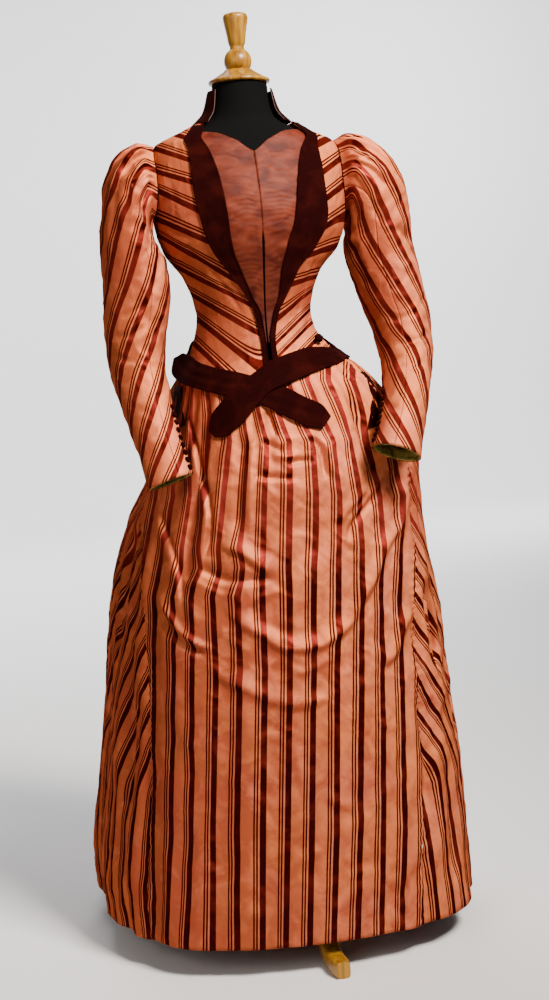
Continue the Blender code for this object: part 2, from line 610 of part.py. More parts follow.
def build_lapels():
    """Velvet revers on the bodice's surface, over the edge of front and plastron."""
    rows = np.array([z for z in BODICE_ROWS if 1.01 <= z < 1.39] + [1.386])
    for side, sign in (("left", -1.0), ("right", 1.0)):
        angles = strip_grid(lapel_edge(side, "in", rows), lapel_edge(side, "out", rows), 4)
        heights = np.broadcast_to(rows[:, None], angles.shape)
        body_wall("lapel_" + side, bodice, sign * angles, heights, "velvet", SHOULDER_LIFT)


def collar_surface(angle, share):
    """Standing collar: from the neckline up and in to the top edge."""
    base = body(angle, COLLAR_LOW_Z)
    turned = np.radians(angle)
    height = COLLAR_LOW_Z + COLLAR_HEIGHT * share
    lean = read(COLLAR_LEAN, COLLAR_LEAN_COLUMNS, "share", "lean", share)
    top_x = COLLAR_TOP_HALF_WIDTH * np.sin(turned)
    top_y = -COLLAR_TOP_HALF_DEPTH * np.cos(turned)
    top = np.stack(np.broadcast_arrays(top_x, top_y, height), axis=-1)
    flat_base = base.copy()
    flat_base[..., 2] = height
    return flat_base + (top - flat_base) * lean[..., None]


def build_collar():
    """The collar's wall, open over the throat and cut back towards its top edge."""
    share = np.linspace(0.0, 1.0, 4)
    start = COLLAR_OPEN_ANGLE + COLLAR_CUT_BACK * share
    angles = strip_grid(start, 360.0 - start, 18)
    heights = np.broadcast_to(share[:, None], angles.shape)
    points = collar_surface(angles, heights)
    normal = outward(collar_surface, angles, heights, 0.5, 0.01)
    wall("collar", points, points - normal * CLOTH, "velvet")


def build_band(name, table, stations, cells, surface=body):
    """Velvet band between a top edge and a lower edge given station by station."""
    at = np.linspace(0.0, len(table) - 1.0, stations)
    top_angle, top_z, low_angle, low_z, lift = (
        by_row(table, BAND_COLUMNS, column, at)[None, :] for column in BAND_COLUMNS)
    share = np.linspace(0.0, 1.0, cells + 1)[:, None]
    angles = low_angle + (top_angle - low_angle) * share
    heights = low_z + (top_z - low_z) * share
    lifts = np.broadcast_to(lift, angles.shape)
    return body_wall(name, surface, angles, heights, "velvet", lifts)


def build_sash():
    """Belt round the back, the two crossed ends in front and the knot."""
    build_band("sash_under", SASH_UNDER, 20, 3)
    build_band("sash_over", SASH_OVER, 20, 3)
    build_band("belt_back", BELT_BACK, 21, 2)
    build_band("hip_tab_left", HIP_TAB_LEFT, 6, 3)
    build_band("hip_tab_right", HIP_TAB_RIGHT, 8, 2)
    angle, z = np.array(KNOT_ANGLE), np.array(KNOT_Z)
    where = body(angle, z)
    normal = outward(body, angle, z, 0.4, 0.0015)
    work = bmesh.new()
    bmesh.ops.create_uvsphere(work, u_segments=10, v_segments=6, radius=KNOT_RADIUS)
    bmesh.ops.scale(work, vec=KNOT_STRETCH, verts=work.verts)
    mesh = bpy.data.meshes.new("sash_knot")
    work.to_mesh(mesh)
    work.free()
    knot = add_object("sash_knot", mesh, "velvet")
    knot.location = where + normal * KNOT_LIFT
    knot.rotation_euler = (0.0, 0.0, math.radians(KNOT_ANGLE))


def sleeve_ring(table, step, angle):
    """Ellipse of a sleeve at a fractional ring number; angle 0 outward or up, 90 to the front."""
    x, y, z, side_tilt, front_tilt, half_out, half_depth = (
        by_row(table, SLEEVE_COLUMNS, column, step) for column in SLEEVE_COLUMNS)
    side_tilt, front_tilt, turn = np.radians(side_tilt), np.radians(front_tilt), np.radians(angle)
    out = np.stack([np.sin(side_tilt), np.zeros_like(side_tilt), np.cos(side_tilt)], axis=-1)
    down_turned = np.stack([-np.cos(side_tilt), np.zeros_like(side_tilt), np.sin(side_tilt)], axis=-1)
    across = np.array([0.0, -1.0, 0.0])
    ahead = across * np.cos(front_tilt)[..., None] + down_turned * np.sin(front_tilt)[..., None]
    spoke = out * (half_out * np.cos(turn))[..., None] + ahead * (half_depth * np.sin(turn))[..., None]
    return np.stack([x, y, z], axis=-1), spoke


def mirrored(points, sign):
    """Points with x multiplied by the side's sign."""
    return points * np.array([sign, 1.0, 1.0])


def armhole(angle, sign):
    """Armhole edge just proud of one side's cloth, at a sleeve's ring angle, brought to +X."""
    turn = np.radians(angle)
    z = ARMHOLE_Z + ARMHOLE_HALF_HEIGHT * np.cos(turn)
    body_angle = sign * (90.0 - armhole_reach(np.sin(turn) > 0.0) * np.sin(turn))
    normal = outward(body, body_angle, z, 0.4, 0.0015)
    return mirrored(body(body_angle, z) + normal * SHOULDER_LIFT, sign)


def sleeve_surface(table, sign):
    """A sleeve, brought to the +X side, as a function of ring angle and ring number."""
    def surface(angle, step):
        angle, step = np.broadcast_arrays(np.asarray(angle, float), np.asarray(step, float))
        centre, spoke = sleeve_ring(table, step, angle)
        length = np.linalg.norm(spoke, axis=-1)
        turned = signed(angle)
        depth = read(SLEEVE_GATHER_DEPTH, SLEEVE_GATHER_COLUMNS, "step", "depth", step)
        wave = 0.5 - 0.5 * np.cos(2.0 * math.pi * SLEEVE_GATHERS * turned / SLEEVE_GATHER_SPAN)
        near_top = 1.0 - smooth_step(np.abs(turned), 60.0, 88.0)
        point = centre + spoke * (1.0 - depth * wave * near_top / length)[..., None]
        start_centre, start_spoke = sleeve_ring(table, np.zeros_like(step), angle)
        fit = armhole(angle, sign) - start_centre - start_spoke
        return point + fit * (1.0 - smooth_step(step, 0.0, 1.6))[..., None]
    return surface


def build_sleeves():
    """Top and under sleeve, facing and buttons for each arm."""
    steps = np.array(SLEEVE_STEPS)[:, None]
    gap = math.degrees(0.5 * SEAM_GAP / SLEEVE_RADIUS)
    for side, sign, table in (("left", -1.0, SLEEVE_LEFT), ("right", 1.0, SLEEVE_RIGHT)):
        surface = sleeve_surface(table, sign)
        pieces = {
            "sleeve_top_": np.linspace(-SLEEVE_SEAM_ANGLE + gap, SLEEVE_SEAM_ANGLE - gap, 24),
            "sleeve_under_": np.linspace(SLEEVE_SEAM_ANGLE + gap, 360.0 - SLEEVE_SEAM_ANGLE - gap, 8),
        }
        for name, turn in pieces.items():
            angles, at = np.broadcast_arrays(turn[None, :], steps)
            sleeve_wall(name + side, surface, sign, angles, at, 0.0, "striped_silk")
        turn = np.arange(0.0, 360.0, 15.0)[None, :]
        at = np.array([14.0 - FACING_DEPTH, 14.0])[:, None]
        angles, at = np.broadcast_arrays(turn, at)
        inset = CLOTH + FACING_GAP
        sleeve_wall("cuff_facing_" + side, surface, sign, angles, at, inset, "cuff_silk", True)
        for number in range(BUTTON_COUNT):
            step = BUTTON_FIRST_STEP + BUTTON_SPACING * number
            build_button("cuff_button_%s_%d" % (side, number + 1), surface, side, sign, step)


def sleeve_wall(name, surface, sign, angles, at, inset, finish_name, closed=False):
    """Cloth on a sleeve's surface, its outer face the given inset below that surface."""
    normal = outward(surface, angles, at, 1.0, 0.02)
    points = surface(angles, at)
    outer = mirrored(points - normal * inset, sign)
    inner = mirrored(points - normal * (inset + CLOTH), sign)
    return wall(name, outer, inner, finish_name, closed)


def build_button(name, surface, side, sign, step):
    """A low dome standing just off the sleeve."""
    angle, at = np.array(BUTTON_ANGLE[side]), np.array(step)
    normal = mirrored(outward(surface, angle, at, 1.0, 0.02), sign)
    where = mirrored(surface(angle, at), sign) + normal * BUTTON_LIFT[side]
    work = bmesh.new()
    bmesh.ops.create_uvsphere(work, u_segments=8, v_segments=4, radius=BUTTON_RADIUS)
    cut = bmesh.ops.bisect_plane(work, geom=work.verts[:] + work.edges[:] + work.faces[:],
                                 plane_co=(0, 0, 0), plane_no=(0, 0, -1), clear_outer=True)
    rim = [item for item in cut["geom_cut"] if isinstance(item, bmesh.types.BMEdge)]
    bmesh.ops.contextual_create(work, geom=rim)
    bmesh.ops.scale(work, vec=(1.0, 1.0, BUTTON_HEIGHT / BUTTON_RADIUS), verts=work.verts)
    bmesh.ops.recalc_face_normals(work, faces=work.faces)
    mesh = bpy.data.meshes.new(name)
    work.to_mesh(mesh)
    work.free()
    button = add_object(name, mesh, "velvet")
    button.location = where
    button.rotation_mode = "QUATERNION"
    button.rotation_quaternion = Vector(normal).to_track_quat("Z", "Y")


def build_skirt():
    """Apron, sides and back of the skirt."""
    rows = np.array(SKIRT_ROWS)
    rows[-1] = WAIST_SEAM_Z - SEAM_GAP
    gap = gap_angle(rows)
    front_left = read(SKIRT_SEAMS, SKIRT_SEAM_COLUMNS, "z", "front_left", rows)
    front_right = read(SKIRT_SEAMS, SKIRT_SEAM_COLUMNS, "z", "front_right", rows)
    side_left = np.full_like(rows, SIDE_SEAM_LEFT)
    side_right = np.full_like(rows, SIDE_SEAM_RIGHT)
    middle = np.full_like(rows, 180.0)
    pieces = [
        ("skirt_front", front_left, front_right, 36),
        ("skirt_side_right", front_right, side_right, 13),
        ("skirt_back_right", side_right, middle, 15),
        ("skirt_back_left", middle, 360.0 + side_left, 15),
        ("skirt_side_left", side_left, front_left, 12),
    ]
    for name, start, end, cells in pieces:
        angles = strip_grid(start + gap, end - gap, cells)
        heights = np.broadcast_to(rows[:, None], angles.shape)
        body_wall(name, skirt, angles, heights, "striped_silk", -CLOTH)


def oval_ring(turn, z, half_width, half_depth):
    """Level ellipse round the form's axis at the angles of turn."""
    angle = np.radians(turn)
    x = half_width * np.sin(angle)
    y = -half_depth * np.cos(angle)
    return np.stack([x, y, np.full_like(angle, z)], axis=-1)


def form_rings():
    """Rings of the dress form: hips, then inside the bodice, then the neck."""
    turn = np.arange(0.0, 360.0, FORM_SEGMENT_ANGLE)
    rings = [oval_ring(turn, *row) for row in FORM_HIPS]
    for z in BODICE_ROWS[1:-1]:
        at = np.full_like(turn, z)
        clear = FORM_CLEARANCE + FORM_SHOULDER_EXTRA * float(smooth_step(z, 1.300, 1.360))
        if z == FORM_WAIST_Z:
            clear = FORM_WAIST_CLEARANCE
        rings.append(body(turn, at) - outward(body, turn, at, 0.4, 0.0015) * (CLOTH + clear))
    rings += [oval_ring(turn, *row) for row in FORM_NECK]
    return rings


def build_form():
    """The form's body: rings joined one to the next and closed at both ends."""
    rings = form_rings()
    work = bmesh.new()
    made = [[work.verts.new(point) for point in ring] for ring in rings]
    count = len(made[0])
    for low, high in zip(made[:-1], made[1:]):
        for j in range(count):
            k = (j + 1) % count
            work.faces.new((low[j], low[k], high[k], high[j]))
    work.faces.new(made[0][::-1])
    work.faces.new(made[-1])
    bmesh.ops.recalc_face_normals(work, faces=work.faces)
    mesh = bpy.data.meshes.new("form_torso")
    work.to_mesh(mesh)
    work.free()
    add_object("form_torso", mesh, "form_jersey")


def turned_piece(name, profile, finish_name, segments=18):
    """A lathe-turned piece from (radius, height) points, its ends on the axis."""
    work = bmesh.new()
    verts = [work.verts.new((radius, 0.0, z)) for radius, z in profile]
    edges = [work.edges.new(pair) for pair in zip(verts[:-1], verts[1:])]
    bmesh.ops.spin(work, geom=verts + edges, axis=(0, 0, 1), cent=(0, 0, 0), steps=segments,
                   angle=2.0 * math.pi, use_duplicate=False)
    bmesh.ops.remove_doubles(work, verts=work.verts, dist=0.00001)
    bmesh.ops.recalc_face_normals(work, faces=work.faces)
    mesh = bpy.data.meshes.new(name)
    work.to_mesh(mesh)
    work.free()
    return add_object(name, mesh, finish_name)


def build_stand():
    """Neck cap, finial, pole, hub and three curved legs."""
    base = FORM_TOP_Z + CAP_GAP
    turned_piece("neck_cap", [(radius, base + height) for radius, height in NECK_CAP], "wood")
    ball_low = base + NECK_CAP[-1][1] + CAP_GAP
    profile = [(0.0, ball_low)]
    start = math.asin((ball_low - BALL_CENTRE_Z) / BALL_RADIUS)
    for share in np.linspace(0.0, 1.0, 7):
        turn = start + (math.radians(BALL_END_ANGLE) - start) * share
        profile.append((BALL_RADIUS * math.cos(turn), BALL_CENTRE_Z + BALL_RADIUS * math.sin(turn)))
    turned_piece("finial", profile + KNOB, "wood")
    hub_low, hub_high = HUB_Z
    pole_low, pole_high = hub_high + SEAM_GAP, FORM_BOTTOM_Z - SEAM_GAP
    turned_piece("pole", [(0.0, pole_low), (POLE_RADIUS, pole_low), (POLE_RADIUS, pole_high),
                          (0.0, pole_high)], "pole_metal", 12)
    rim = HUB_RADIUS - HUB_CHAMFER
    turned_piece("hub", [(0.0, hub_low), (rim, hub_low), (HUB_RADIUS, hub_low + HUB_CHAMFER),
                         (HUB_RADIUS, hub_high - HUB_CHAMFER), (rim, hub_high), (0.0, hub_high)],
                 "wood", 18)
    for name, angle in LEG_ANGLES.items():
        build_leg(name, math.radians(angle))


def leg_line(share):
    """Centre line of a leg: out of the hub level, down in a curve, then flat along the floor."""
    out = HUB_RADIUS - 0.0001 + (LEG_REACH - HUB_RADIUS) * share
    flat = 0.5 * LEG_DEPTH
    high = 0.5 * (HUB_Z[0] + HUB_Z[1])
    z = flat + (high - flat) * (1.0 - smooth_step(share, 0.0, LEG_LEVEL_SHARE)) ** 1.15
    return out, z


def build_leg(name, angle):
    """A bar of rounded section along the leg line, its underside flat on the floor at the toe."""
    half_w, half_d = 0.5 * LEG_WIDTH, 0.5 * LEG_DEPTH
    corner_w, corner_d = half_w - LEG_CORNER, half_d - LEG_CORNER
    outline = [(-half_w, -half_d), (half_w, -half_d), (half_w, corner_d),
               (corner_w, half_d), (-corner_w, half_d), (-half_w, corner_d)]
    work = bmesh.new()
    rings = []
    for share in LEG_SHARES:
        out, z = leg_line(share)
        ahead_out, ahead_z = leg_line(min(share + 0.02, 1.0))
        behind_out, behind_z = leg_line(max(share - 0.02, 0.0))
        slope = math.atan2(ahead_z - behind_z, ahead_out - behind_out)
        if share == 0.0 or share >= LEG_LEVEL_SHARE:
            slope = 0.0
        narrow = LEG_TOE_WIDTH if share == 1.0 else 1.0
        ring = []
        for side, up in outline:
            r = out - up * math.sin(slope)
            height = max(z + up * math.cos(slope), 0.0)
            side = side * narrow
            ring.append(work.verts.new((r * math.cos(angle) - side * math.sin(angle),
                                        r * math.sin(angle) + side * math.cos(angle), height)))
        rings.append(ring)
    for low, high in zip(rings[:-1], rings[1:]):
        for j in range(len(outline)):
            k = (j + 1) % len(outline)
            work.faces.new((low[j], low[k], high[k], high[j]))
    work.faces.new(rings[0])
    work.faces.new(rings[-1][::-1])
    bmesh.ops.recalc_face_normals(work, faces=work.faces)
    mesh = bpy.data.meshes.new(name)
    work.to_mesh(mesh)
    work.free()
    add_object(name, mesh, "wood")


build_form()
build_stand()
build_bodice()
build_plastron()
build_lapels()
build_collar()
build_sash()
build_sleeves()
build_skirt()
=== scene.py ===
# %% [markdown]
# # A striped silk visiting dress on its form
#
# The real dress is two pieces of silk woven with burgundy satin stripes, a fitted bodice with
# velvet lapels over a rust silk plastron, and an apron skirt draped over a bustle. It stands on a
# black dress form with turned wooden parts. Cloth like this could be draped by simulation, but
# the folds of a museum dress are pinned where the maker put them, so each piece here is a surface
# worked out from sizes, with its folds pushed in one by one. Metres, +Z up, the dress faces -Y.

# %% Load the fixed frame
import math

import bpy
import numpy as np
from mathutils import Matrix, Vector


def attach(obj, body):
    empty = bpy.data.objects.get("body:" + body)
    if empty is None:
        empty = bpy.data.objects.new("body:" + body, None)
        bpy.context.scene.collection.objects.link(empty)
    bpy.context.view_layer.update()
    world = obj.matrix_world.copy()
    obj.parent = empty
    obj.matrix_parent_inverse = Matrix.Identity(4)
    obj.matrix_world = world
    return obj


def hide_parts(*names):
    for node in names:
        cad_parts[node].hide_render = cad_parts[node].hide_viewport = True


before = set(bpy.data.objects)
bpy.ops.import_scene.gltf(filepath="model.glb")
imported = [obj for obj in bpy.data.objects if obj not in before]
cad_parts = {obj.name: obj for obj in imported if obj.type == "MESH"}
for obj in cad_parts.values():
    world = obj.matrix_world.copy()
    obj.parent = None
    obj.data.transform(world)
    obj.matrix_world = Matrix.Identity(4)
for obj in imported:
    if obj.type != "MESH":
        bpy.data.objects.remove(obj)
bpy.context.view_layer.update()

print("frame nodes:", len(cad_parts))

# %% [markdown]
# ## The camera first
#
# The picture was taken almost level, a step to the dress's right, with the camera tipped 3.5
# degrees about its own axis. A level camera keeps the stripes parallel, so the lens is shifted
# instead of pitched. The same numbers turn a point of the dress into a place in the picture, which
# later sets where stripes and creases lie on the front.

# %% Camera
FORM_AXIS = np.array([-0.006, -0.073, 0.0])
CAMERA_PLACE = np.array([-0.624, -2.934, 0.97]) + FORM_AXIS
LOOK = np.array([0.208, 0.978, 0.0]) / math.hypot(0.208, 0.978)
RIGHT_HAND = np.array([LOOK[1], -LOOK[0], 0.0])
ROLL = math.radians(3.5)
LENS_PX = 1714.0
MIDDLE_PX = (256.3, 365.0)
IMAGE_WIDTH = 549.0
IMAGE_HEIGHT = 1000.0
SENSOR_MM = 36.0

lens = bpy.data.cameras.new("studio_camera")
lens.sensor_width = SENSOR_MM
lens.lens = SENSOR_MM * LENS_PX / IMAGE_HEIGHT
lens.shift_x = (0.5 * IMAGE_WIDTH - MIDDLE_PX[0]) / IMAGE_HEIGHT
lens.shift_y = (MIDDLE_PX[1] - 0.5 * IMAGE_HEIGHT) / IMAGE_HEIGHT
camera = bpy.data.objects.new("studio_camera", lens)
UP = np.array([0.0, 0.0, 1.0])
camera_right = math.cos(ROLL) * RIGHT_HAND - math.sin(ROLL) * UP
camera_up = math.cos(ROLL) * UP + math.sin(ROLL) * RIGHT_HAND
turned = np.eye(4)
turned[:3, 0] = camera_right
turned[:3, 1] = camera_up
turned[:3, 2] = -LOOK
turned[:3, 3] = CAMERA_PLACE
camera.matrix_world = Matrix(turned.tolist())
bpy.context.scene.collection.objects.link(camera)
bpy.context.scene.camera = camera


def picture(points):
    """Place of points in the 549 x 1000 picture: offsets along the camera's right and up, over depth."""
    offset = points - CAMERA_PLACE
    depth = offset @ LOOK
    across = MIDDLE_PX[0] + LENS_PX * (offset @ camera_right) / depth
    down = MIDDLE_PX[1] - LENS_PX * (offset @ camera_up) / depth
    return across, down


print("lens mm:", round(lens.lens, 1))

# %% [markdown]
# ## Tools for tables, curves and meshes
#
# Sizes are kept in short tables, one row for each level. A cubic through each column gives a value
# between the rows. A surface is a function of two numbers, worked out on a whole grid of points at
# once, and the grid goes into a mesh in a few calls. A sheet keeps two things for its material: the
# stripe number across the cloth, as a UV map, and how far each point turns to one direction, from
# which the material paints light and shade and a highlight on the satin into the colour.

# %% Curves through tables


def smooth_curve(knots, values, at):
    """Cubics through the knots, with slopes that are harmonic means of the rises on both sides."""
    knots = np.asarray(knots, float)
    values = np.asarray(values, float)
    at = np.clip(np.asarray(at, float), knots[0], knots[-1])
    step = np.diff(knots)
    rise = np.diff(values) / step
    before = 2.0 * step[1:] + step[:-1]
    after = step[1:] + 2.0 * step[:-1]
    same_way = rise[:-1] * rise[1:] > 0.0
    low = np.where(same_way, rise[:-1], 1.0)
    high = np.where(same_way, rise[1:], 1.0)
    inner = np.where(same_way, (before + after) / (before / low + after / high), 0.0)
    slope = np.concatenate([rise[:1], inner, rise[-1:]])
    k = np.clip(np.searchsorted(knots, at) - 1, 0, len(step) - 1)
    s = (at - knots[k]) / step[k]
    start = (1 + 2 * s) * (1 - s) ** 2 * values[k] + s * (1 - s) ** 2 * step[k] * slope[k]
    end = s * s * (3 - 2 * s) * values[k + 1] + s * s * (s - 1) * step[k] * slope[k + 1]
    return start + end


def read(table, key, name, at):
    """Value of a named column of a table, smooth between its rows; row 0 holds the names."""
    names = list(table[0])
    rows = np.array(table[1:], float)
    return smooth_curve(rows[:, names.index(key)], rows[:, names.index(name)], at)


def by_row(table, name, at):
    """Value of a named column at a fractional row number."""
    rows = np.array(table[1:], float)
    return smooth_curve(np.arange(len(rows)), rows[:, list(table[0]).index(name)], at)


def smooth_step(value, low, high):
    """0 below low, 1 above high, and t*t*(3 - 2t) between."""
    t = np.clip((value - low) / (high - low), 0.0, 1.0)
    return t * t * (3.0 - 2.0 * t)


def signed(angle):
    """An angle brought between -180 and 180 degrees."""
    return (np.asarray(angle, float) + 180.0) % 360.0 - 180.0


def outward(surface, u, v, step_u, step_v):
    """Unit normals: the cross product of the surface's change along u and along v."""
    along_u = surface(u + step_u, v) - surface(u - step_u, v)
    along_v = surface(u, v + step_v) - surface(u, v - step_v)
    normal = np.cross(along_u, along_v)
    return normal / np.linalg.norm(normal, axis=-1, keepdims=True)


def grid_normals(points):
    """Unit normals of a grid of points, from its differences along columns and rows."""
    normal = np.cross(np.gradient(points, axis=1), np.gradient(points, axis=0))
    return normal / np.maximum(np.linalg.norm(normal, axis=-1, keepdims=True), 1e-12)


print("half way on a curve through 1, 2 and 5:", round(float(smooth_curve([0, 1, 2], [1, 2, 5], 0.5)), 3))


# %% Meshes from grids


def grid_area(points):
    """Area of a grid: half the cross product of each cell's diagonals."""
    one = points[1:, 1:] - points[:-1, :-1]
    two = points[1:, :-1] - points[:-1, 1:]
    return float(0.5 * np.linalg.norm(np.cross(one, two), axis=-1).sum())


def grid_mesh(name, points, cloth=None, closed=False, caps=False):
    """Quads between neighbouring points; closed joins the last column to the first.

    cloth is a grid of (stripe number, metres along), kept as the UV map named cloth.
    """
    rows, columns = points.shape[:2]
    number = np.arange(rows * columns).reshape(rows, columns)
    right = np.roll(number, -1, axis=1)
    last = columns if closed else columns - 1
    quads = np.stack([number[:-1, :last], right[:-1, :last], right[1:, :last], number[1:, :last]],
                     axis=-1).reshape(-1, 4)
    mesh = bpy.data.meshes.new(name)
    mesh.vertices.add(rows * columns)
    mesh.vertices.foreach_set("co", points.reshape(-1).astype(np.float32))
    ends = [number[0, ::-1], number[-1]] if caps else []
    loops = np.concatenate([quads.reshape(-1)] + ends)
    starts = np.concatenate([np.arange(len(quads)) * 4, len(quads) * 4 + np.arange(len(ends)) * columns])
    mesh.loops.add(len(loops))
    mesh.loops.foreach_set("vertex_index", loops.astype(np.int32))
    mesh.polygons.add(len(starts))
    mesh.polygons.foreach_set("loop_start", starts.astype(np.int32))
    mesh.update(calc_edges=True)
    if cloth is not None:
        layer = mesh.uv_layers.new(name="cloth")
        layer.uv.foreach_set("vector", cloth.reshape(-1, 2)[loops].reshape(-1).astype(np.float32))
    mesh.shade_smooth()
    return mesh


# The direction of the painted light: the silk's colour is painted lighter where it faces up, forward and a
# little to the right
PAINTED_LIGHT_DIRECTION = np.array([0.35, -0.55, 0.76]) / math.hypot(0.35, 0.55, 0.76)
TURN_DARK = 0.50
TURN_LIGHT = 0.95
# how strongly a crease's flanks change the satin's painted highlight
PAINTED_SHINE_GAIN = 1.2               # how strongly a crease's flanks change the satin's shine


def turn_to_light(points):
    """0 to 1: how far the surface of a grid turns to the painted light; the material paints light and shade
    by it.
    """
    facing = grid_normals(points) @ PAINTED_LIGHT_DIRECTION
    return np.clip((facing - TURN_DARK) / (TURN_LIGHT - TURN_DARK), 0.0, 1.0)


def keep_painted_light(mesh, points, smooth, base):
    """Writes turn, the painted light and shade, and a painted highlight for the satin: its base plus the gain
    times (turn of the creased cloth - turn of the smooth one).
    """
    turn = turn_to_light(points)
    painted_shine = np.clip(base + PAINTED_SHINE_GAIN * (turn - turn_to_light(smooth)), 0.0, 1.0)
    for name, values in (("turn", turn), ("painted_shine", painted_shine)):
        layer = mesh.attributes.new(name, "FLOAT", "POINT")
        layer.data.foreach_set("value", values.reshape(-1).astype(np.float32))


def add_piece(name, mesh, material, node, thickness=0.0):
    """Links a piece that stands for a CAD node; a thickness turns the sheet into a wall inwards."""
    thing = bpy.data.objects.new(name, mesh)
    mesh.materials.append(material)
    bpy.context.scene.collection.objects.link(thing)
    if thickness > 0.0:
        wall = thing.modifiers.new("cloth_thickness", "SOLIDIFY")
        wall.thickness = thickness
        wall.offset = -1.0
    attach(thing, "root")
    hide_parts(node)
    return thing


def sheet_piece(node, points, smooth, material, slot, thickness, cloth=None, painted_shine=None,
                closed=False):
    """Adds a grid of points as a sheet for one CAD node and declares its cut, measured on the smooth grid.

    The piece is named for its node and the last word of its slot. The base of the satin's painted highlight,
    when given, is written with the painted light and shade as two attributes.
    """
    name = node + "_" + slot.split("_")[-1]
    mesh = grid_mesh(name, points, cloth, closed)
    if painted_shine is not None:
        keep_painted_light(mesh, points, smooth, painted_shine)
    piece = add_piece(name, mesh, material, node, thickness)
    return piece


unit_square = np.array([[[0.0, 0.0, 0.0], [1.0, 0.0, 0.0]], [[0.0, 1.0, 0.0], [1.0, 1.0, 0.0]]])
print("area of a grid of one unit square:", grid_area(unit_square))

# %% [markdown]
# ## Colours and nodes
#
# Colours are written as the hex values that a picture shows, and Blender's shaders want linear
# light, so one function turns one into the other. One small function adds a node with its
# settings and links.

# %% Colour and node helpers


def linear_rgb(code):
    """A hex colour such as #C87850 as linear red, green, blue and alpha."""
    channels = [int(code[k:k + 2], 16) / 255.0 for k in (1, 3, 5)]
    return [c / 12.92 if c <= 0.04045 else ((c + 0.055) / 1.055) ** 2.4 for c in channels] + [1.0]


def add_node(tree, kind, inputs=None, **settings):
    """A node with its settings; inputs are numbers, colours or the outputs to link from."""
    node = tree.nodes.new(kind)
    for key, value in settings.items():
        setattr(node, key, value)
    for key, value in (inputs or {}).items():
        if isinstance(value, bpy.types.NodeSocket):
            tree.links.new(value, node.inputs[key])
        else:
            node.inputs[key].default_value = value
    return node


def set_ramp(node, stops):
    """Sets a colour ramp's stops, a list of (place, hex colour)."""
    ramp = node.color_ramp
    while len(ramp.elements) < len(stops):
        ramp.elements.new(0.5)
    for element, (place, code) in zip(ramp.elements, stops):
        element.position = place
        element.color = linear_rgb(code)


def new_material(name, **constants):
    """A node material with a Principled shader; each constant is named as its socket, _ for a space."""
    material = bpy.data.materials.new(name)
    material.use_nodes = True
    shader = material.node_tree.nodes["Principled BSDF"]
    for key, value in constants.items():
        shader.inputs[key.replace("_", " ")].default_value = value
    return material, material.node_tree, shader


def two_tone(tree, amount, pair):
    """Colour between a pair of hex colours by an amount from 0 to 1."""
    mix = add_node(tree, "ShaderNodeMix", {"Factor": amount, 6: linear_rgb(pair[0]), 7: linear_rgb(pair[1])},
                   data_type="RGBA")
    return mix.outputs[2]


print("mid grey #808080 as linear light:", round(linear_rgb("#808080")[0], 3))

# %% [markdown]
# ## Striped silk
#
# The dress is silk taffeta with satin stripes, woven in: two hairlines and a wide burgundy stripe
# on a copper ground. Taffeta is crisp and catches light on every small crease; the satin stripe
# has long floating threads, so it looks nearly black from one side and rose where it shines. Both
# are painted into the colour here: painted light and shade by how far the cloth turns to one
# direction, and a painted highlight on the satin.
# A picture could carry the stripes, but a ramp read across the cloth stays sharp at any size, and
# the stripe number kept on each piece's own UV map makes the stripes follow the cloth.

# %% Striped silk material
REPEAT = 0.0385          # metres from one wide stripe to the next
# Each colour has two tones: painted shade where the cloth turns from the light, and painted light where it
# turns to it
GROUND = ("#9A4A2C", "#DA7848")
PINK_CAST = ("#98442C", "#D87854")     # the pinker patches of the ground
HAIRLINE = ("#300100", "#521208")
PALE_LINE = ("#A25238", "#D87E58")
SATIN = ("#2C0200", "#862C24")
# Name, edges as shares of a repeat (the wide stripe lies round the middle, at 0.5) and tones
STRIPES = (
    ("first hairline", 0.120, 0.186, HAIRLINE),
    ("second hairline", 0.236, 0.308, HAIRLINE),
    ("pale line", 0.308, 0.368, PALE_LINE),
    ("wide satin stripe", 0.372, 0.626, SATIN),
)
EDGE_SOFT = 0.010        # half the width of a stripe's soft edge, as a share of a repeat


def stripe_mask(tree, across, low, high):
    """1 between low and high of the repeat, with edges one thread soft."""
    rise = add_node(tree, "ShaderNodeMapRange", {"Value": across, "From Min": low - EDGE_SOFT,
                                                 "From Max": low + EDGE_SOFT})
    fall = add_node(tree, "ShaderNodeMapRange", {"Value": across, "From Min": high + EDGE_SOFT,
                                                 "From Max": high - EDGE_SOFT})
    both = add_node(tree, "ShaderNodeMath", {0: rise.outputs[0], 1: fall.outputs[0]}, operation="MULTIPLY")
    return both.outputs[0]


def shifted(tree, amount, noise, reach):
    """The amount plus the noise brought to -reach to reach, kept between 0 and 1."""
    shift = add_node(tree, "ShaderNodeMapRange", {"Value": noise, "From Min": 0.30, "From Max": 0.70,
                                                  "To Min": -reach, "To Max": reach})
    return add_node(tree, "ShaderNodeMath", {0: amount, 1: shift.outputs[0]}, operation="ADD",
                    use_clamp=True).outputs[0]


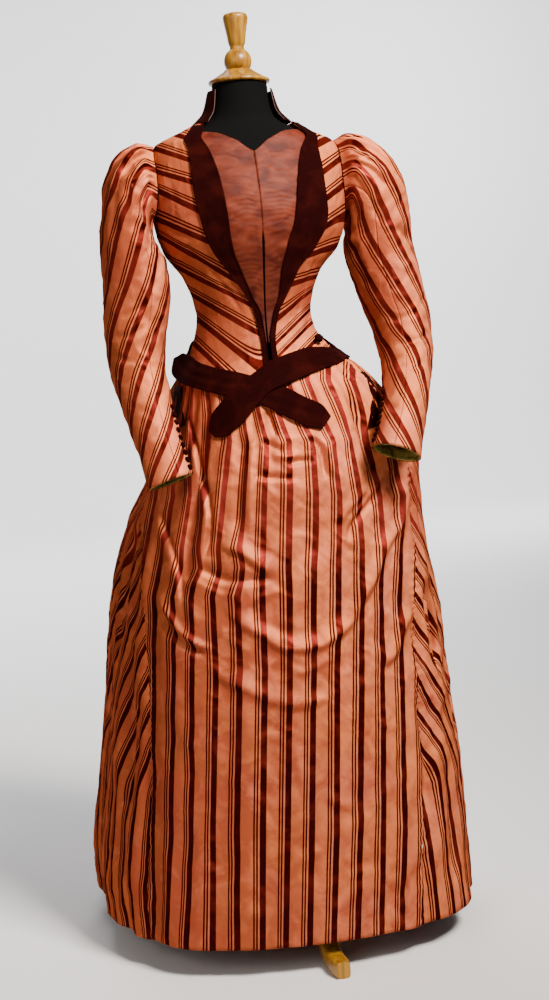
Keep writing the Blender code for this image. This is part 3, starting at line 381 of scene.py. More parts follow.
def build_striped_silk():
    """Stripes from the UV map, painted light and shade and the satin's painted highlight from the two
    attributes that keep them, crinkle from the place.
    """
    material, tree, shader = new_material("silk_taffeta_with_satin_stripes", Specular_IOR_Level=0.0)
    # silk's gloss takes the colour of its threads, so a part of it reflects as tinted metal does
    shader.inputs["Metallic"].default_value = 0.18
    shader.inputs["Specular Tint"].default_value = linear_rgb("#A05A3C")
    cloth = add_node(tree, "ShaderNodeUVMap", uv_map="cloth")
    split = add_node(tree, "ShaderNodeSeparateXYZ", {0: cloth.outputs[0]})
    place = add_node(tree, "ShaderNodeTexCoord").outputs["Object"]
    centred = add_node(tree, "ShaderNodeMath", {0: split.outputs[0], 1: 0.5}, operation="ADD").outputs[0]
    across = add_node(tree, "ShaderNodeMath", {0: centred}, operation="FRACT").outputs[0]
    # the two attributes carry painted light: turn the light and shade of the whole cloth, the next one the
    # highlight of the satin
    turn = add_node(tree, "ShaderNodeAttribute", attribute_name="turn").outputs["Fac"]
    painted_shine = add_node(tree, "ShaderNodeAttribute", attribute_name="painted_shine").outputs["Fac"]

    # noise for crumples of handled taffeta, 15 to 40 mm, bumps the cloth and shifts the ground's painted
    # light and shade, darker in the crumples' hollows; patches of 90 mm turn pinker at random
    soft_noise = add_node(tree, "ShaderNodeTexNoise", {"Vector": place, "Scale": 26.0, "Detail": 4.0,
                                                       "Roughness": 0.6, "Distortion": 0.8})
    tone = shifted(tree, turn, soft_noise.outputs[0], 0.30)
    patch_noise = add_node(tree, "ShaderNodeTexNoise", {"Vector": place, "Scale": 11.0, "Detail": 3.0})
    pinkness = add_node(tree, "ShaderNodeMapRange", {"Value": patch_noise.outputs[0], "From Min": 0.42,
                                                     "From Max": 0.62})
    mixed = add_node(tree, "ShaderNodeMix", {"Factor": pinkness.outputs[0], 6: two_tone(tree, tone, GROUND),
                                             7: two_tone(tree, tone, PINK_CAST)}, data_type="RGBA").outputs[2]
    # the satin's painted highlight is shifted in level bands, 125 mm wide and 30 mm high
    band_place = add_node(tree, "ShaderNodeMapping", {"Vector": place, "Scale": (8.0, 8.0, 32.0)})
    band_noise = add_node(tree, "ShaderNodeTexNoise", {"Vector": band_place.outputs[0], "Scale": 1.0,
                                                       "Detail": 2.0})
    satin_painted_shine = shifted(tree, painted_shine, band_noise.outputs[0], 0.10)
    # the pale line takes the ground's painted light and shade; the hairlines and the wide stripe take the
    # satin's painted highlight
    for _, low, high, pair in STRIPES:
        amount = tone if pair is PALE_LINE else satin_painted_shine
        mask = stripe_mask(tree, across, low, high)
        mixed = add_node(tree, "ShaderNodeMix", {"Factor": mask, 6: mixed, 7: two_tone(tree, amount, pair)},
                         data_type="RGBA").outputs[2]
    tree.links.new(mixed, shader.inputs["Base Color"])
    # the wide stripe's mask is the last: its satin is smoother than the ground
    rough = add_node(tree, "ShaderNodeMapRange", {"Value": mask, "To Min": 0.55, "To Max": 0.40})
    tree.links.new(rough.outputs[0], shader.inputs["Roughness"])

    # sharp-edged crumples over soft ones, then weft slubs, drawn at 1.2 mm so that they show
    sharp_noise = add_node(tree, "ShaderNodeTexNoise", {"Vector": place, "Scale": 15.0, "Detail": 3.0,
                                                        "Roughness": 0.45, "Distortion": 0.5},
                           noise_type="RIDGED_MULTIFRACTAL")
    slub = add_node(tree, "ShaderNodeMapping", {"Vector": place, "Scale": (160.0, 160.0, 820.0)})
    slub_noise = add_node(tree, "ShaderNodeTexNoise", {"Vector": slub.outputs[0], "Scale": 1.0,
                                                       "Detail": 2.0})
    soft_bump = add_node(tree, "ShaderNodeBump", {"Strength": 0.7, "Distance": 0.0030,
                                                  "Height": soft_noise.outputs[0]})
    sharp_bump = add_node(tree, "ShaderNodeBump", {"Strength": 0.6, "Distance": 0.0028,
                                                   "Height": sharp_noise.outputs[0],
                                                   "Normal": soft_bump.outputs[0]})
    bump = add_node(tree, "ShaderNodeBump", {"Strength": 0.25, "Distance": 0.0004,
                                             "Height": slub_noise.outputs[0],
                                             "Normal": sharp_bump.outputs[0]})
    tree.links.new(bump.outputs[0], shader.inputs["Normal"])
    return material


striped_silk = build_striped_silk()
print("made", striped_silk.name)

# %% [markdown]
# ## The other cloths, the wood and the metal
#
# Velvet is a cut pile: dark where you look into it and paler at grazing angles, which the sheen
# layer gives. The plastron's soft silk is crinkled crosswise. The form's jersey is matt and black.
# The wooden parts are turned from a pale wood and varnished, and the pole is a steel tube. Each is
# made from noise in real sizes, read from the piece's own place, so no piece needs a picture.

# %% Velvet, plastron silk, cuff silk, jersey, wood and steel


def build_velvet():
    """Dark burgundy pile with sheen, painted paler in soft random patches: rubbed pile, and a painted sheen
    of the crushed pile.
    """
    material, tree, shader = new_material("silk_velvet_pile", Roughness=0.9, Sheen_Weight=0.03,
                                          Sheen_Roughness=0.30, Specular_IOR_Level=0.04,
                                          Sheen_Tint=linear_rgb("#C04028"))
    place = add_node(tree, "ShaderNodeTexCoord").outputs["Object"]
    patch = add_node(tree, "ShaderNodeTexNoise", {"Vector": place, "Scale": 28.0, "Detail": 4.0,
                                                  "Distortion": 0.6})
    # paler patches: partly rubbed pile, partly a painted sheen
    tone = add_node(tree, "ShaderNodeMapRange", {"Value": patch.outputs[0], "From Min": 0.45,
                                                 "From Max": 0.75})
    tree.links.new(two_tone(tree, tone.outputs[0], ("#180000", "#280402")), shader.inputs["Base Color"])
    pile = add_node(tree, "ShaderNodeTexNoise", {"Vector": place, "Scale": 900.0, "Detail": 1.0})
    bump = add_node(tree, "ShaderNodeBump", {"Strength": 0.4, "Distance": 0.0005, "Height": pile.outputs[0]})
    tree.links.new(bump.outputs[0], shader.inputs["Normal"])
    return material


def build_soft_silk(name, pair, crease_scale, bump_depth, darker_below_z=(0.0, 0.1)):
    """Thin silk with a crosswise crinkle, its colour painted darker in the crinkle's hollows and lighter on
    its ridges (painted shade and light); crease_scale is creases per metre in x, y and z.

    The colour is darker towards the bottom: below the first of the two heights it is six tenths as bright as
    above the second.
    """
    material, tree, shader = new_material(name, Roughness=0.55, Specular_IOR_Level=0.10)
    place = add_node(tree, "ShaderNodeTexCoord").outputs["Object"]
    stretched = add_node(tree, "ShaderNodeMapping", {"Vector": place, "Scale": crease_scale})
    crease = add_node(tree, "ShaderNodeTexNoise", {"Vector": stretched.outputs[0], "Scale": 1.0,
                                                   "Detail": 5.0, "Distortion": 0.8})
    # painted shade of the crinkle: the same noise as the bump, darker in its hollows and lighter on its
    # ridges
    tone = add_node(tree, "ShaderNodeMapRange", {"Value": crease.outputs[0], "From Min": 0.35,
                                                 "From Max": 0.68})
    height = add_node(tree, "ShaderNodeSeparateXYZ", {0: place})
    bright = add_node(tree, "ShaderNodeMapRange", {"Value": height.outputs[2], "From Min": darker_below_z[0],
                                                   "From Max": darker_below_z[1], "To Min": 0.6, "To Max": 1.0})
    darkened_low = add_node(tree, "ShaderNodeVectorMath", {0: two_tone(tree, tone.outputs[0], pair),
                                                     "Scale": bright.outputs[0]}, operation="SCALE")
    tree.links.new(darkened_low.outputs[0], shader.inputs["Base Color"])
    bump = add_node(tree, "ShaderNodeBump", {"Strength": 0.7, "Distance": bump_depth,
                                             "Height": crease.outputs[0]})
    tree.links.new(bump.outputs[0], shader.inputs["Normal"])
    return material


def build_jersey():
    """Black stretched knit, matt."""
    material, tree, shader = new_material("cotton_jersey_knit", Roughness=0.9, Specular_IOR_Level=0.08)
    place = add_node(tree, "ShaderNodeTexCoord").outputs["Object"]
    knit = add_node(tree, "ShaderNodeTexNoise", {"Vector": place, "Scale": 600.0, "Detail": 1.0})
    tree.links.new(two_tone(tree, knit.outputs[0], ("#020202", "#070707")), shader.inputs["Base Color"])
    bump = add_node(tree, "ShaderNodeBump", {"Strength": 0.2, "Distance": 0.0003, "Height": knit.outputs[0]})
    tree.links.new(bump.outputs[0], shader.inputs["Normal"])
    return material


def build_wood():
    """Pale varnished hardwood: grain of about 9 mm across that runs up the turned pieces."""
    material, tree, shader = new_material("varnished_beech", Roughness=0.40, Specular_IOR_Level=0.3,
                                          Coat_Weight=0.20, Coat_Roughness=0.12)
    place = add_node(tree, "ShaderNodeTexCoord").outputs["Object"]
    grain = add_node(tree, "ShaderNodeMapping", {"Vector": place, "Scale": (330.0, 330.0, 22.0)})
    streak = add_node(tree, "ShaderNodeTexNoise", {"Vector": grain.outputs[0], "Scale": 0.35, "Detail": 4.0,
                                                   "Distortion": 0.4})
    colour = add_node(tree, "ShaderNodeValToRGB", {0: streak.outputs[0]})
    set_ramp(colour, [(0.30, "#643C08"), (0.52, "#906210"), (0.72, "#A87C24")])
    tree.links.new(colour.outputs[0], shader.inputs["Base Color"])
    bump = add_node(tree, "ShaderNodeBump", {"Strength": 0.08, "Distance": 0.0003,
                                             "Height": streak.outputs[0]})
    tree.links.new(bump.outputs[0], shader.inputs["Normal"])
    return material


def build_steel():
    """Plain steel tube, brushed along its length."""
    material, tree, shader = new_material("brushed_steel_tube", Metallic=1.0,
                                          Base_Color=linear_rgb("#9A9A98"))
    place = add_node(tree, "ShaderNodeTexCoord").outputs["Object"]
    lines = add_node(tree, "ShaderNodeMapping", {"Vector": place, "Scale": (900.0, 900.0, 12.0)})
    brushed = add_node(tree, "ShaderNodeTexNoise", {"Vector": lines.outputs[0], "Scale": 1.0,
                                                    "Detail": 2.0})
    rough = add_node(tree, "ShaderNodeMapRange", {"Value": brushed.outputs[0], "To Min": 0.30,
                                                  "To Max": 0.50})
    tree.links.new(rough.outputs[0], shader.inputs["Roughness"])
    return material


velvet = build_velvet()
plastron_silk = build_soft_silk("crinkled_rust_silk", ("#44140A", "#6C2C1A"), (24.0, 24.0, 44.0), 0.0016,
                                (1.08, 1.22))
cuff_silk = build_soft_silk("olive_silk_facing", ("#54461A", "#A08E46"), (60.0, 60.0, 60.0), 0.0012)
jersey = build_jersey()
wood = build_wood()
steel = build_steel()
print("materials:", len(bpy.data.materials))

# %% [markdown]
# ## The body surface
#
# Bodice and skirt hang on one smooth surface, told by an angle round the body (0 at centre front,
# positive towards +X) and a height. Each level is a superellipse with its own half-widths, depths
# and squareness, the same ones the solids were made from, so the cloth lies where the solids are.

# %% Body surface
CLOTH = 0.0016
SEAM_GAP = 0.0004
HEM_Z = 0.047
WAIST_SEAM_Z = 1.000
ARMHOLE_Z = 1.291
ARMHOLE_HALF_HEIGHT = 0.066
ARMHOLE_FRONT_REACH = 19.0     # degrees round the body from the side to the armhole's edges
ARMHOLE_BACK_REACH = 30.0
FRONT_SEAM_ANGLE = 76.0
BACK_SEAM_ANGLE = 118.0
SEAM_MEETS_ARMHOLE_Z = 1.2445
SHOULDER_LIFT = 0.0009         # clear height of a sleeve or lapel over the bodice's cloth
BODY_STEPS = (0.4, 0.0015)     # degrees and metres between the points that give a normal

BODY = [
    ("z", "left", "right", "front", "back", "centre", "square"),
    (0.047, 0.320, 0.332, 0.386, 0.370, 0.100, 2.7),
    (0.110, 0.324, 0.335, 0.381, 0.360, 0.100, 2.6),
    (0.250, 0.306, 0.334, 0.364, 0.340, 0.098, 2.5),
    (0.380, 0.290, 0.327, 0.347, 0.322, 0.095, 2.4),
    (0.520, 0.277, 0.321, 0.322, 0.305, 0.090, 2.3),
    (0.640, 0.254, 0.303, 0.297, 0.290, 0.085, 2.3),
    (0.700, 0.234, 0.298, 0.280, 0.280, 0.080, 2.3),
    (0.770, 0.199, 0.298, 0.260, 0.265, 0.070, 2.3),
    (0.850, 0.172, 0.270, 0.223, 0.245, 0.055, 2.3),
    (0.900, 0.158, 0.240, 0.192, 0.215, 0.040, 2.3),
    (0.930, 0.150, 0.215, 0.168, 0.185, 0.028, 2.3),
    (0.960, 0.136, 0.184, 0.138, 0.145, 0.015, 2.2),
    (0.985, 0.120, 0.147, 0.116, 0.112, 0.006, 2.2),
    (1.014, 0.109, 0.114, 0.104, 0.090, 0.000, 2.2),
    (1.036, 0.103, 0.104, 0.101, 0.081, 0.000, 2.2),
    (1.058, 0.100, 0.100, 0.100, 0.078, 0.000, 2.2),
    (1.084, 0.104, 0.104, 0.103, 0.080, 0.000, 2.2),
    (1.128, 0.120, 0.121, 0.110, 0.085, 0.000, 2.2),
    (1.171, 0.150, 0.157, 0.118, 0.094, 0.000, 2.2),
    (1.210, 0.163, 0.171, 0.121, 0.100, 0.000, 2.2),
    (1.250, 0.168, 0.175, 0.117, 0.102, 0.000, 2.2),
    (1.290, 0.169, 0.175, 0.105, 0.100, 0.000, 2.2),
    (1.330, 0.167, 0.172, 0.089, 0.094, 0.000, 2.2),
    (1.357, 0.158, 0.161, 0.079, 0.086, 0.000, 2.1),
    (1.375, 0.124, 0.124, 0.073, 0.078, 0.000, 2.0),
    (1.390, 0.093, 0.093, 0.066, 0.068, 0.000, 2.0),
    (1.400, 0.076, 0.076, 0.060, 0.062, 0.000, 2.0),
]
# Height of the seam between bodice and skirt, under the sash
WAIST_LINE = [
    ("angle", "z"), (-180, 1.000), (-120, 0.992), (-84, 0.975), (-68, 0.965), (-40, 0.951), (-20, 0.940),
    (0, 0.945), (15, 0.962), (30, 0.975), (60, 0.982), (90, 0.992), (120, 0.998), (180, 1.000),
]
# The waist line bends the skirt above the first height and the bodice below the second
WAIST_BEND_Z = (0.880, 1.070)


def body(angle, z):
    """x = half |sin a|^(2/n), y = centre - deep |cos a|^(2/n), signs kept, n the squareness."""
    angle, z = np.broadcast_arrays(np.radians(angle), z)
    side, ahead = np.sin(angle), np.cos(angle)
    power = 2.0 / read(BODY, "z", "square", z)
    half = np.where(side >= 0, read(BODY, "z", "right", z), read(BODY, "z", "left", z))
    deep = np.where(ahead >= 0, read(BODY, "z", "front", z), read(BODY, "z", "back", z))
    x = half * np.sign(side) * np.abs(side) ** power
    y = read(BODY, "z", "centre", z) - deep * np.sign(ahead) * np.abs(ahead) ** power
    return np.stack([x, y, z], axis=-1) + FORM_AXIS


def gap_angle(z):
    """Half a seam gap as degrees at height z."""
    radius = 0.5 * (read(BODY, "z", "right", z) + read(BODY, "z", "front", z))
    return np.degrees(0.5 * SEAM_GAP / radius)


def bodice(angle, z):
    """Body surface with the lowest rows bent down to the waist line."""
    drop = read(WAIST_LINE, "angle", "z", signed(angle)) - WAIST_SEAM_Z
    return body(angle, z + drop * (1.0 - smooth_step(z, WAIST_SEAM_Z, WAIST_BEND_Z[1])))


def strip_grid(start, end, cells):
    """Angles from start to end of each row, as a grid."""
    share = np.linspace(0.0, 1.0, cells + 1)[None, :]
    return start[:, None] + (end - start)[:, None] * share


print("waist round:", round(float(np.sum(np.linalg.norm(np.diff(
    body(np.linspace(0.0, 360.0, 200), 1.058), axis=0), axis=-1))), 3), "m")

# %% [markdown]
# ## Creases placed one by one
#
# Taffeta holds each crease that pinning and gathering gave it. On the front they are placed where
# the picture shows them: each is a smooth line through three to eight places of the picture, with a
# height, and a width on each side of it. A gentle flank above and a steep one below make a swag; a
# height below nought makes a trough.

# %% Creases
MM = 0.001


def crease_line(places):
    """The smooth line through the places of one crease, ten steps from each to the next."""
    places = np.array(places, float)
    at = np.linspace(0.0, len(places) - 1.0, 10 * len(places) - 9)
    knots = np.arange(len(places))
    return np.stack([smooth_curve(knots, places[:, 0], at), smooth_curve(knots, places[:, 1], at)], axis=-1)


def nearest_on_line(across, down, line):
    """Signed distance to the nearest stretch of the line (below or left of it is positive) and its share."""
    nearest = np.full(across.shape, np.inf)
    side = np.zeros(across.shape)
    share = np.zeros(across.shape)
    for k, (start, end) in enumerate(zip(line[:-1], line[1:])):
        run = end - start
        from_x, from_y = across - start[0], down - start[1]
        t = np.clip((from_x * run[0] + from_y * run[1]) / (run @ run), 0.0, 1.0)
        off_x, off_y = from_x - t * run[0], from_y - t * run[1]
        distance = np.hypot(off_x, off_y)
        closer = distance < nearest
        nearest = np.where(closer, distance, nearest)
        side = np.where(closer, distance * np.sign(run[0] * off_y - run[1] * off_x), side)
        share = np.where(closer, (k + t) / (len(line) - 1.0), share)
    return side, share


def crease_push(points, normal, creases):
    """Sum over creases of height * ends * exp(-(distance / width)^2), where the cloth faces the camera."""
    across, down = picture(points)
    eye = points - CAMERA_PLACE
    eye = eye / np.linalg.norm(eye, axis=-1, keepdims=True)
    faces_eye = smooth_step(-np.sum(eye * normal, axis=-1), 0.05, 0.25)
    push = np.zeros(across.shape)
    for _, above, below, height, *places in creases:
        line = crease_line(places)
        reach = 3.0 * max(above, below)
        low, high = line.min(axis=0) - reach, line.max(axis=0) + reach
        near = (across > low[0]) & (across < high[0]) & (down > low[1]) & (down < high[1])
        side, share = nearest_on_line(across[near], down[near], line)
        ends = smooth_step(share, 0.0, 0.22) * (1.0 - smooth_step(share, 0.78, 1.0))
        push[near] += height * ends * np.exp(-(side / np.where(side < 0.0, above, below)) ** 2)
    return MM * push * faces_eye


def crinkle(points, size, depth, seed):
    """Sharp ridges, depth * (1 - |sum| / 1.6), of eight bent waves of random direction and phase."""
    rng = np.random.RandomState(seed)
    total = np.zeros(points.shape[:-1])
    for _ in range(8):
        way = rng.normal(size=3)
        way = way / np.linalg.norm(way) * 2.0 * math.pi / (size * rng.uniform(0.7, 1.8))
        total = total + np.sin(points @ way + rng.uniform(0.0, 6.28) + 1.5 * np.sin(points @ way[[1, 2, 0]]))
    return depth * (1.0 - np.abs(total) / 1.6)


print("a crease through three places has", len(crease_line([(0, 0), (5, 4), (9, 9)])), "points")

# %% [markdown]
# ## Where the stripes run
#
# On the apron the stripes hang straight and are drawn together at the waist. The picture shows
# where each wide stripe passes at a few heights, so a small chart gives its sideways place there,
# and the stripe number at any point is read between the chart's lines.

# %% Stripe chart of the apron
# Sideways places in the picture of wide stripes number -8 to 6, at each height down the picture
FIRST_STRIPE, LAST_STRIPE = -8, 6
APRON_CHART = {
    380: (176, 181, 186, 192, 206, 222, 237, 253, 270, 288, 307, 328, 353, 376, 398),
    415: (168, 174, 180, 190, 210, 228, 243, 259, 279, 300, 321, 343, 364, 386, 406),
    442: (148, 160, 174, 191, 208, 230, 247, 267, 289, 313, 334, 350, 368, 390, 412),
    496: (140, 156, 173, 190, 204, 224, 244, 264, 290, 316, 340, 359, 380, 402, 424),
    548: (128, 146, 163, 182, 199, 218, 240, 263, 289, 316, 339, 362, 383, 400, 424),
    568: (124, 142, 160, 181, 200, 219, 243, 262, 289, 314, 339, 362, 382, 399, 424),
    597: (120, 137, 154, 173, 192, 212, 238, 262, 290, 314, 339, 362, 381, 399, 423),
    670: (116, 135, 154, 174, 192, 216, 240, 265, 290, 314, 337, 362, 383, 402, 422),
    826: (118, 137, 153, 171, 191, 213, 237, 263, 288, 312, 337, 361, 384, 405, 426),
    939: (122, 138, 153, 167, 186, 213, 237, 263, 286, 310, 334, 358, 382, 402, 424),
}


def charted(across, down):
    """Stripe number: along each chart row by linear reading, then smoothly between the rows."""
    heights = np.array(sorted(APRON_CHART), float)
    numbers = np.arange(FIRST_STRIPE, LAST_STRIPE + 1.0)
    rows = []
    for height in heights:
        places = np.array(APRON_CHART[int(height)], float)
        inside = np.interp(across, places, numbers)
        beyond = np.where(across < places[0], (across - places[0]) / (places[1] - places[0]), 0.0)
        beyond += np.where(across > places[-1], (across - places[-1]) / (places[-1] - places[-2]), 0.0)
        rows.append(inside + beyond)
    rows = np.array(rows)
    k = np.clip(np.searchsorted(heights, down) - 1, 0, len(heights) - 2)
    t = np.clip((down - heights[k]) / (heights[k + 1] - heights[k]), 0.0, 1.0)
    low = np.take_along_axis(rows, k[None], axis=0)[0]
    high = np.take_along_axis(rows, k[None] + 1, axis=0)[0]
    return low + (high - low) * t


def arc_from(angles, heights, from_angle):
    """Metres round the body from from_angle to each angle, row by row."""
    fine = np.linspace(-180.0, 270.0, 901)
    arcs = []
    for row_angles, z in zip(angles, heights[:, 0]):
        line = body(fine, np.full_like(fine, z))
        run = np.concatenate([[0.0], np.cumsum(np.linalg.norm(np.diff(line, axis=0), axis=-1))])
        arcs.append(np.interp(row_angles, fine, run) - np.interp(from_angle, fine, run))
    return np.array(arcs)


print("stripe at the middle of the apron:", round(float(charted(np.array([265.0]), np.array([670.0]))[0]), 2))


# %% [markdown]
# ## The skirt
#
# The apron in front is one wide piece gathered into the waist; side pieces with slanting stripes
# join it, and two back pieces hang over the bustle. Long folds are troughs in the smooth surface,
# the same ones as in the solids, and creases and crinkle come on top of them.

# %% Skirt surface
FOLDS = [
    ("top_angle", "low_angle", "half_width", "depth", "z_top", "z_low"),
    (-43.0, -33.0, 3.5, 0.010, 0.900, 0.560),
    (-58.0, -50.0, 5.0, 0.009, 0.860, 0.047),
    (-70.0, -66.0, 4.5, 0.011, 0.820, 0.047),
    (-80.0, -78.0, 5.0, 0.026, 0.740, 0.470),
    (-93.0, -90.0, 6.0, 0.012, 0.880, 0.047),
    (-24.0, -24.0, 5.0, 0.005, 0.820, 0.047),
    (-9.0, -10.0, 5.0, 0.004, 0.780, 0.047),
    (12.0, 12.0, 5.0, 0.004, 0.800, 0.047),
    (27.0, 26.0, 5.0, 0.006, 0.860, 0.047),
    (40.0, 40.0, 4.5, 0.008, 0.880, 0.300),
    (51.5, 51.5, 3.5, 0.011, 0.800, 0.600),
    (52.0, 53.5, 4.0, 0.022, 0.600, 0.400),
    (64.0, 61.0, 5.5, 0.012, 0.880, 0.047),
    (78.0, 74.0, 6.0, 0.012, 0.900, 0.047),
    (94.0, 90.0, 6.0, 0.013, 0.900, 0.047),
    (112.0, 108.0, 7.0, 0.018, 0.920, 0.047),
    (132.0, 128.0, 7.5, 0.022, 0.920, 0.047),
    (151.0, 147.0, 7.5, 0.024, 0.920, 0.047),
    (171.0, 168.0, 7.5, 0.026, 0.920, 0.047),
    (190.0, 192.0, 7.5, 0.026, 0.920, 0.047),
    (210.0, 213.0, 7.5, 0.024, 0.920, 0.047),
    (229.0, 232.0, 7.5, 0.022, 0.920, 0.047),
    (249.0, 252.0, 7.0, 0.016, 0.920, 0.047),
]
GATHER_DEPTH = [
    ("z", "depth"), (0.700, 0.0), (0.800, 0.0020), (0.880, 0.0040), (0.930, 0.0050), (0.975, 0.0035),
    (1.000, 0.0),
]
GATHER_ANGLE = 9.5
BACK_GATHER_ANGLE = 18.0
SKIRT_SEAMS = [
    ("z", "front_left", "front_right"),
    (0.047, -53.0, 24.0), (0.150, -53.2, 26.5), (0.240, -53.7, 29.6), (0.335, -55.0, 32.6),
    (0.430, -56.1, 35.2), (0.525, -58.5, 39.0), (0.600, -63.0, 45.0), (0.690, -74.0, 50.0),
    (0.780, -84.0, 50.5), (0.900, -87.0, 57.0), (1.000, -87.5, 60.0),
]
SIDE_SEAM_RIGHT = 97.0
SIDE_SEAM_LEFT = -98.0


def gathers(angle, z):
    """Waves round the waist, 0.5 - 0.5 cos, unevenly spaced in front and deeper and wider apart behind."""
    angle = signed(angle)
    wander = 1.6 * np.sin(np.radians(angle) * 3.0) + 1.1 * np.sin(np.radians(angle) * 7.0 + 1.0)
    front_wave = 0.5 - 0.5 * np.cos(2.0 * math.pi * (angle + wander) / GATHER_ANGLE)
    back_wave = 0.5 - 0.5 * np.cos(2.0 * math.pi * (angle - 180.0) / BACK_GATHER_ANGLE)
    at_back = smooth_step(np.abs(angle), 92.0, 100.0)
    return read(GATHER_DEPTH, "z", "depth", z) * (front_wave * (1.0 - at_back) + 1.8 * back_wave * at_back)


def long_folds(angle, z):
    """Sum of bells depth * exp(-d*d), d the angle from the fold's line in half-widths."""
    total = 0.0
    for top_angle, low_angle, half_width, depth, z_top, z_low in FOLDS[1:]:
        along = np.clip((z_top - z) / (z_top - HEM_Z), 0.0, 1.0)
        across = signed(angle - top_angle - (low_angle - top_angle) * along) / half_width
        rise = smooth_step(z_top - z, 0.0, 0.120)
        if z_low > HEM_Z:
            rise = rise * smooth_step(z - z_low, 0.0, 0.090)
        total = total + depth * rise * np.exp(-across * across)
    return total


def skirt(angle, z):
    """Body surface bent to the waist line and pushed inwards by gathers and long folds."""
    drop = read(WAIST_LINE, "angle", "z", signed(angle)) - WAIST_SEAM_Z
    height = z + drop * smooth_step(z, WAIST_BEND_Z[0], WAIST_SEAM_Z)
    point = body(angle, height)
    inward = FORM_AXIS - point
    inward[..., 1] += read(BODY, "z", "centre", height)
    inward[..., 2] = 0.0
    inward /= np.linalg.norm(inward, axis=-1, keepdims=True)
    return point + inward * (gathers(angle, z) + long_folds(angle, z))[..., None]


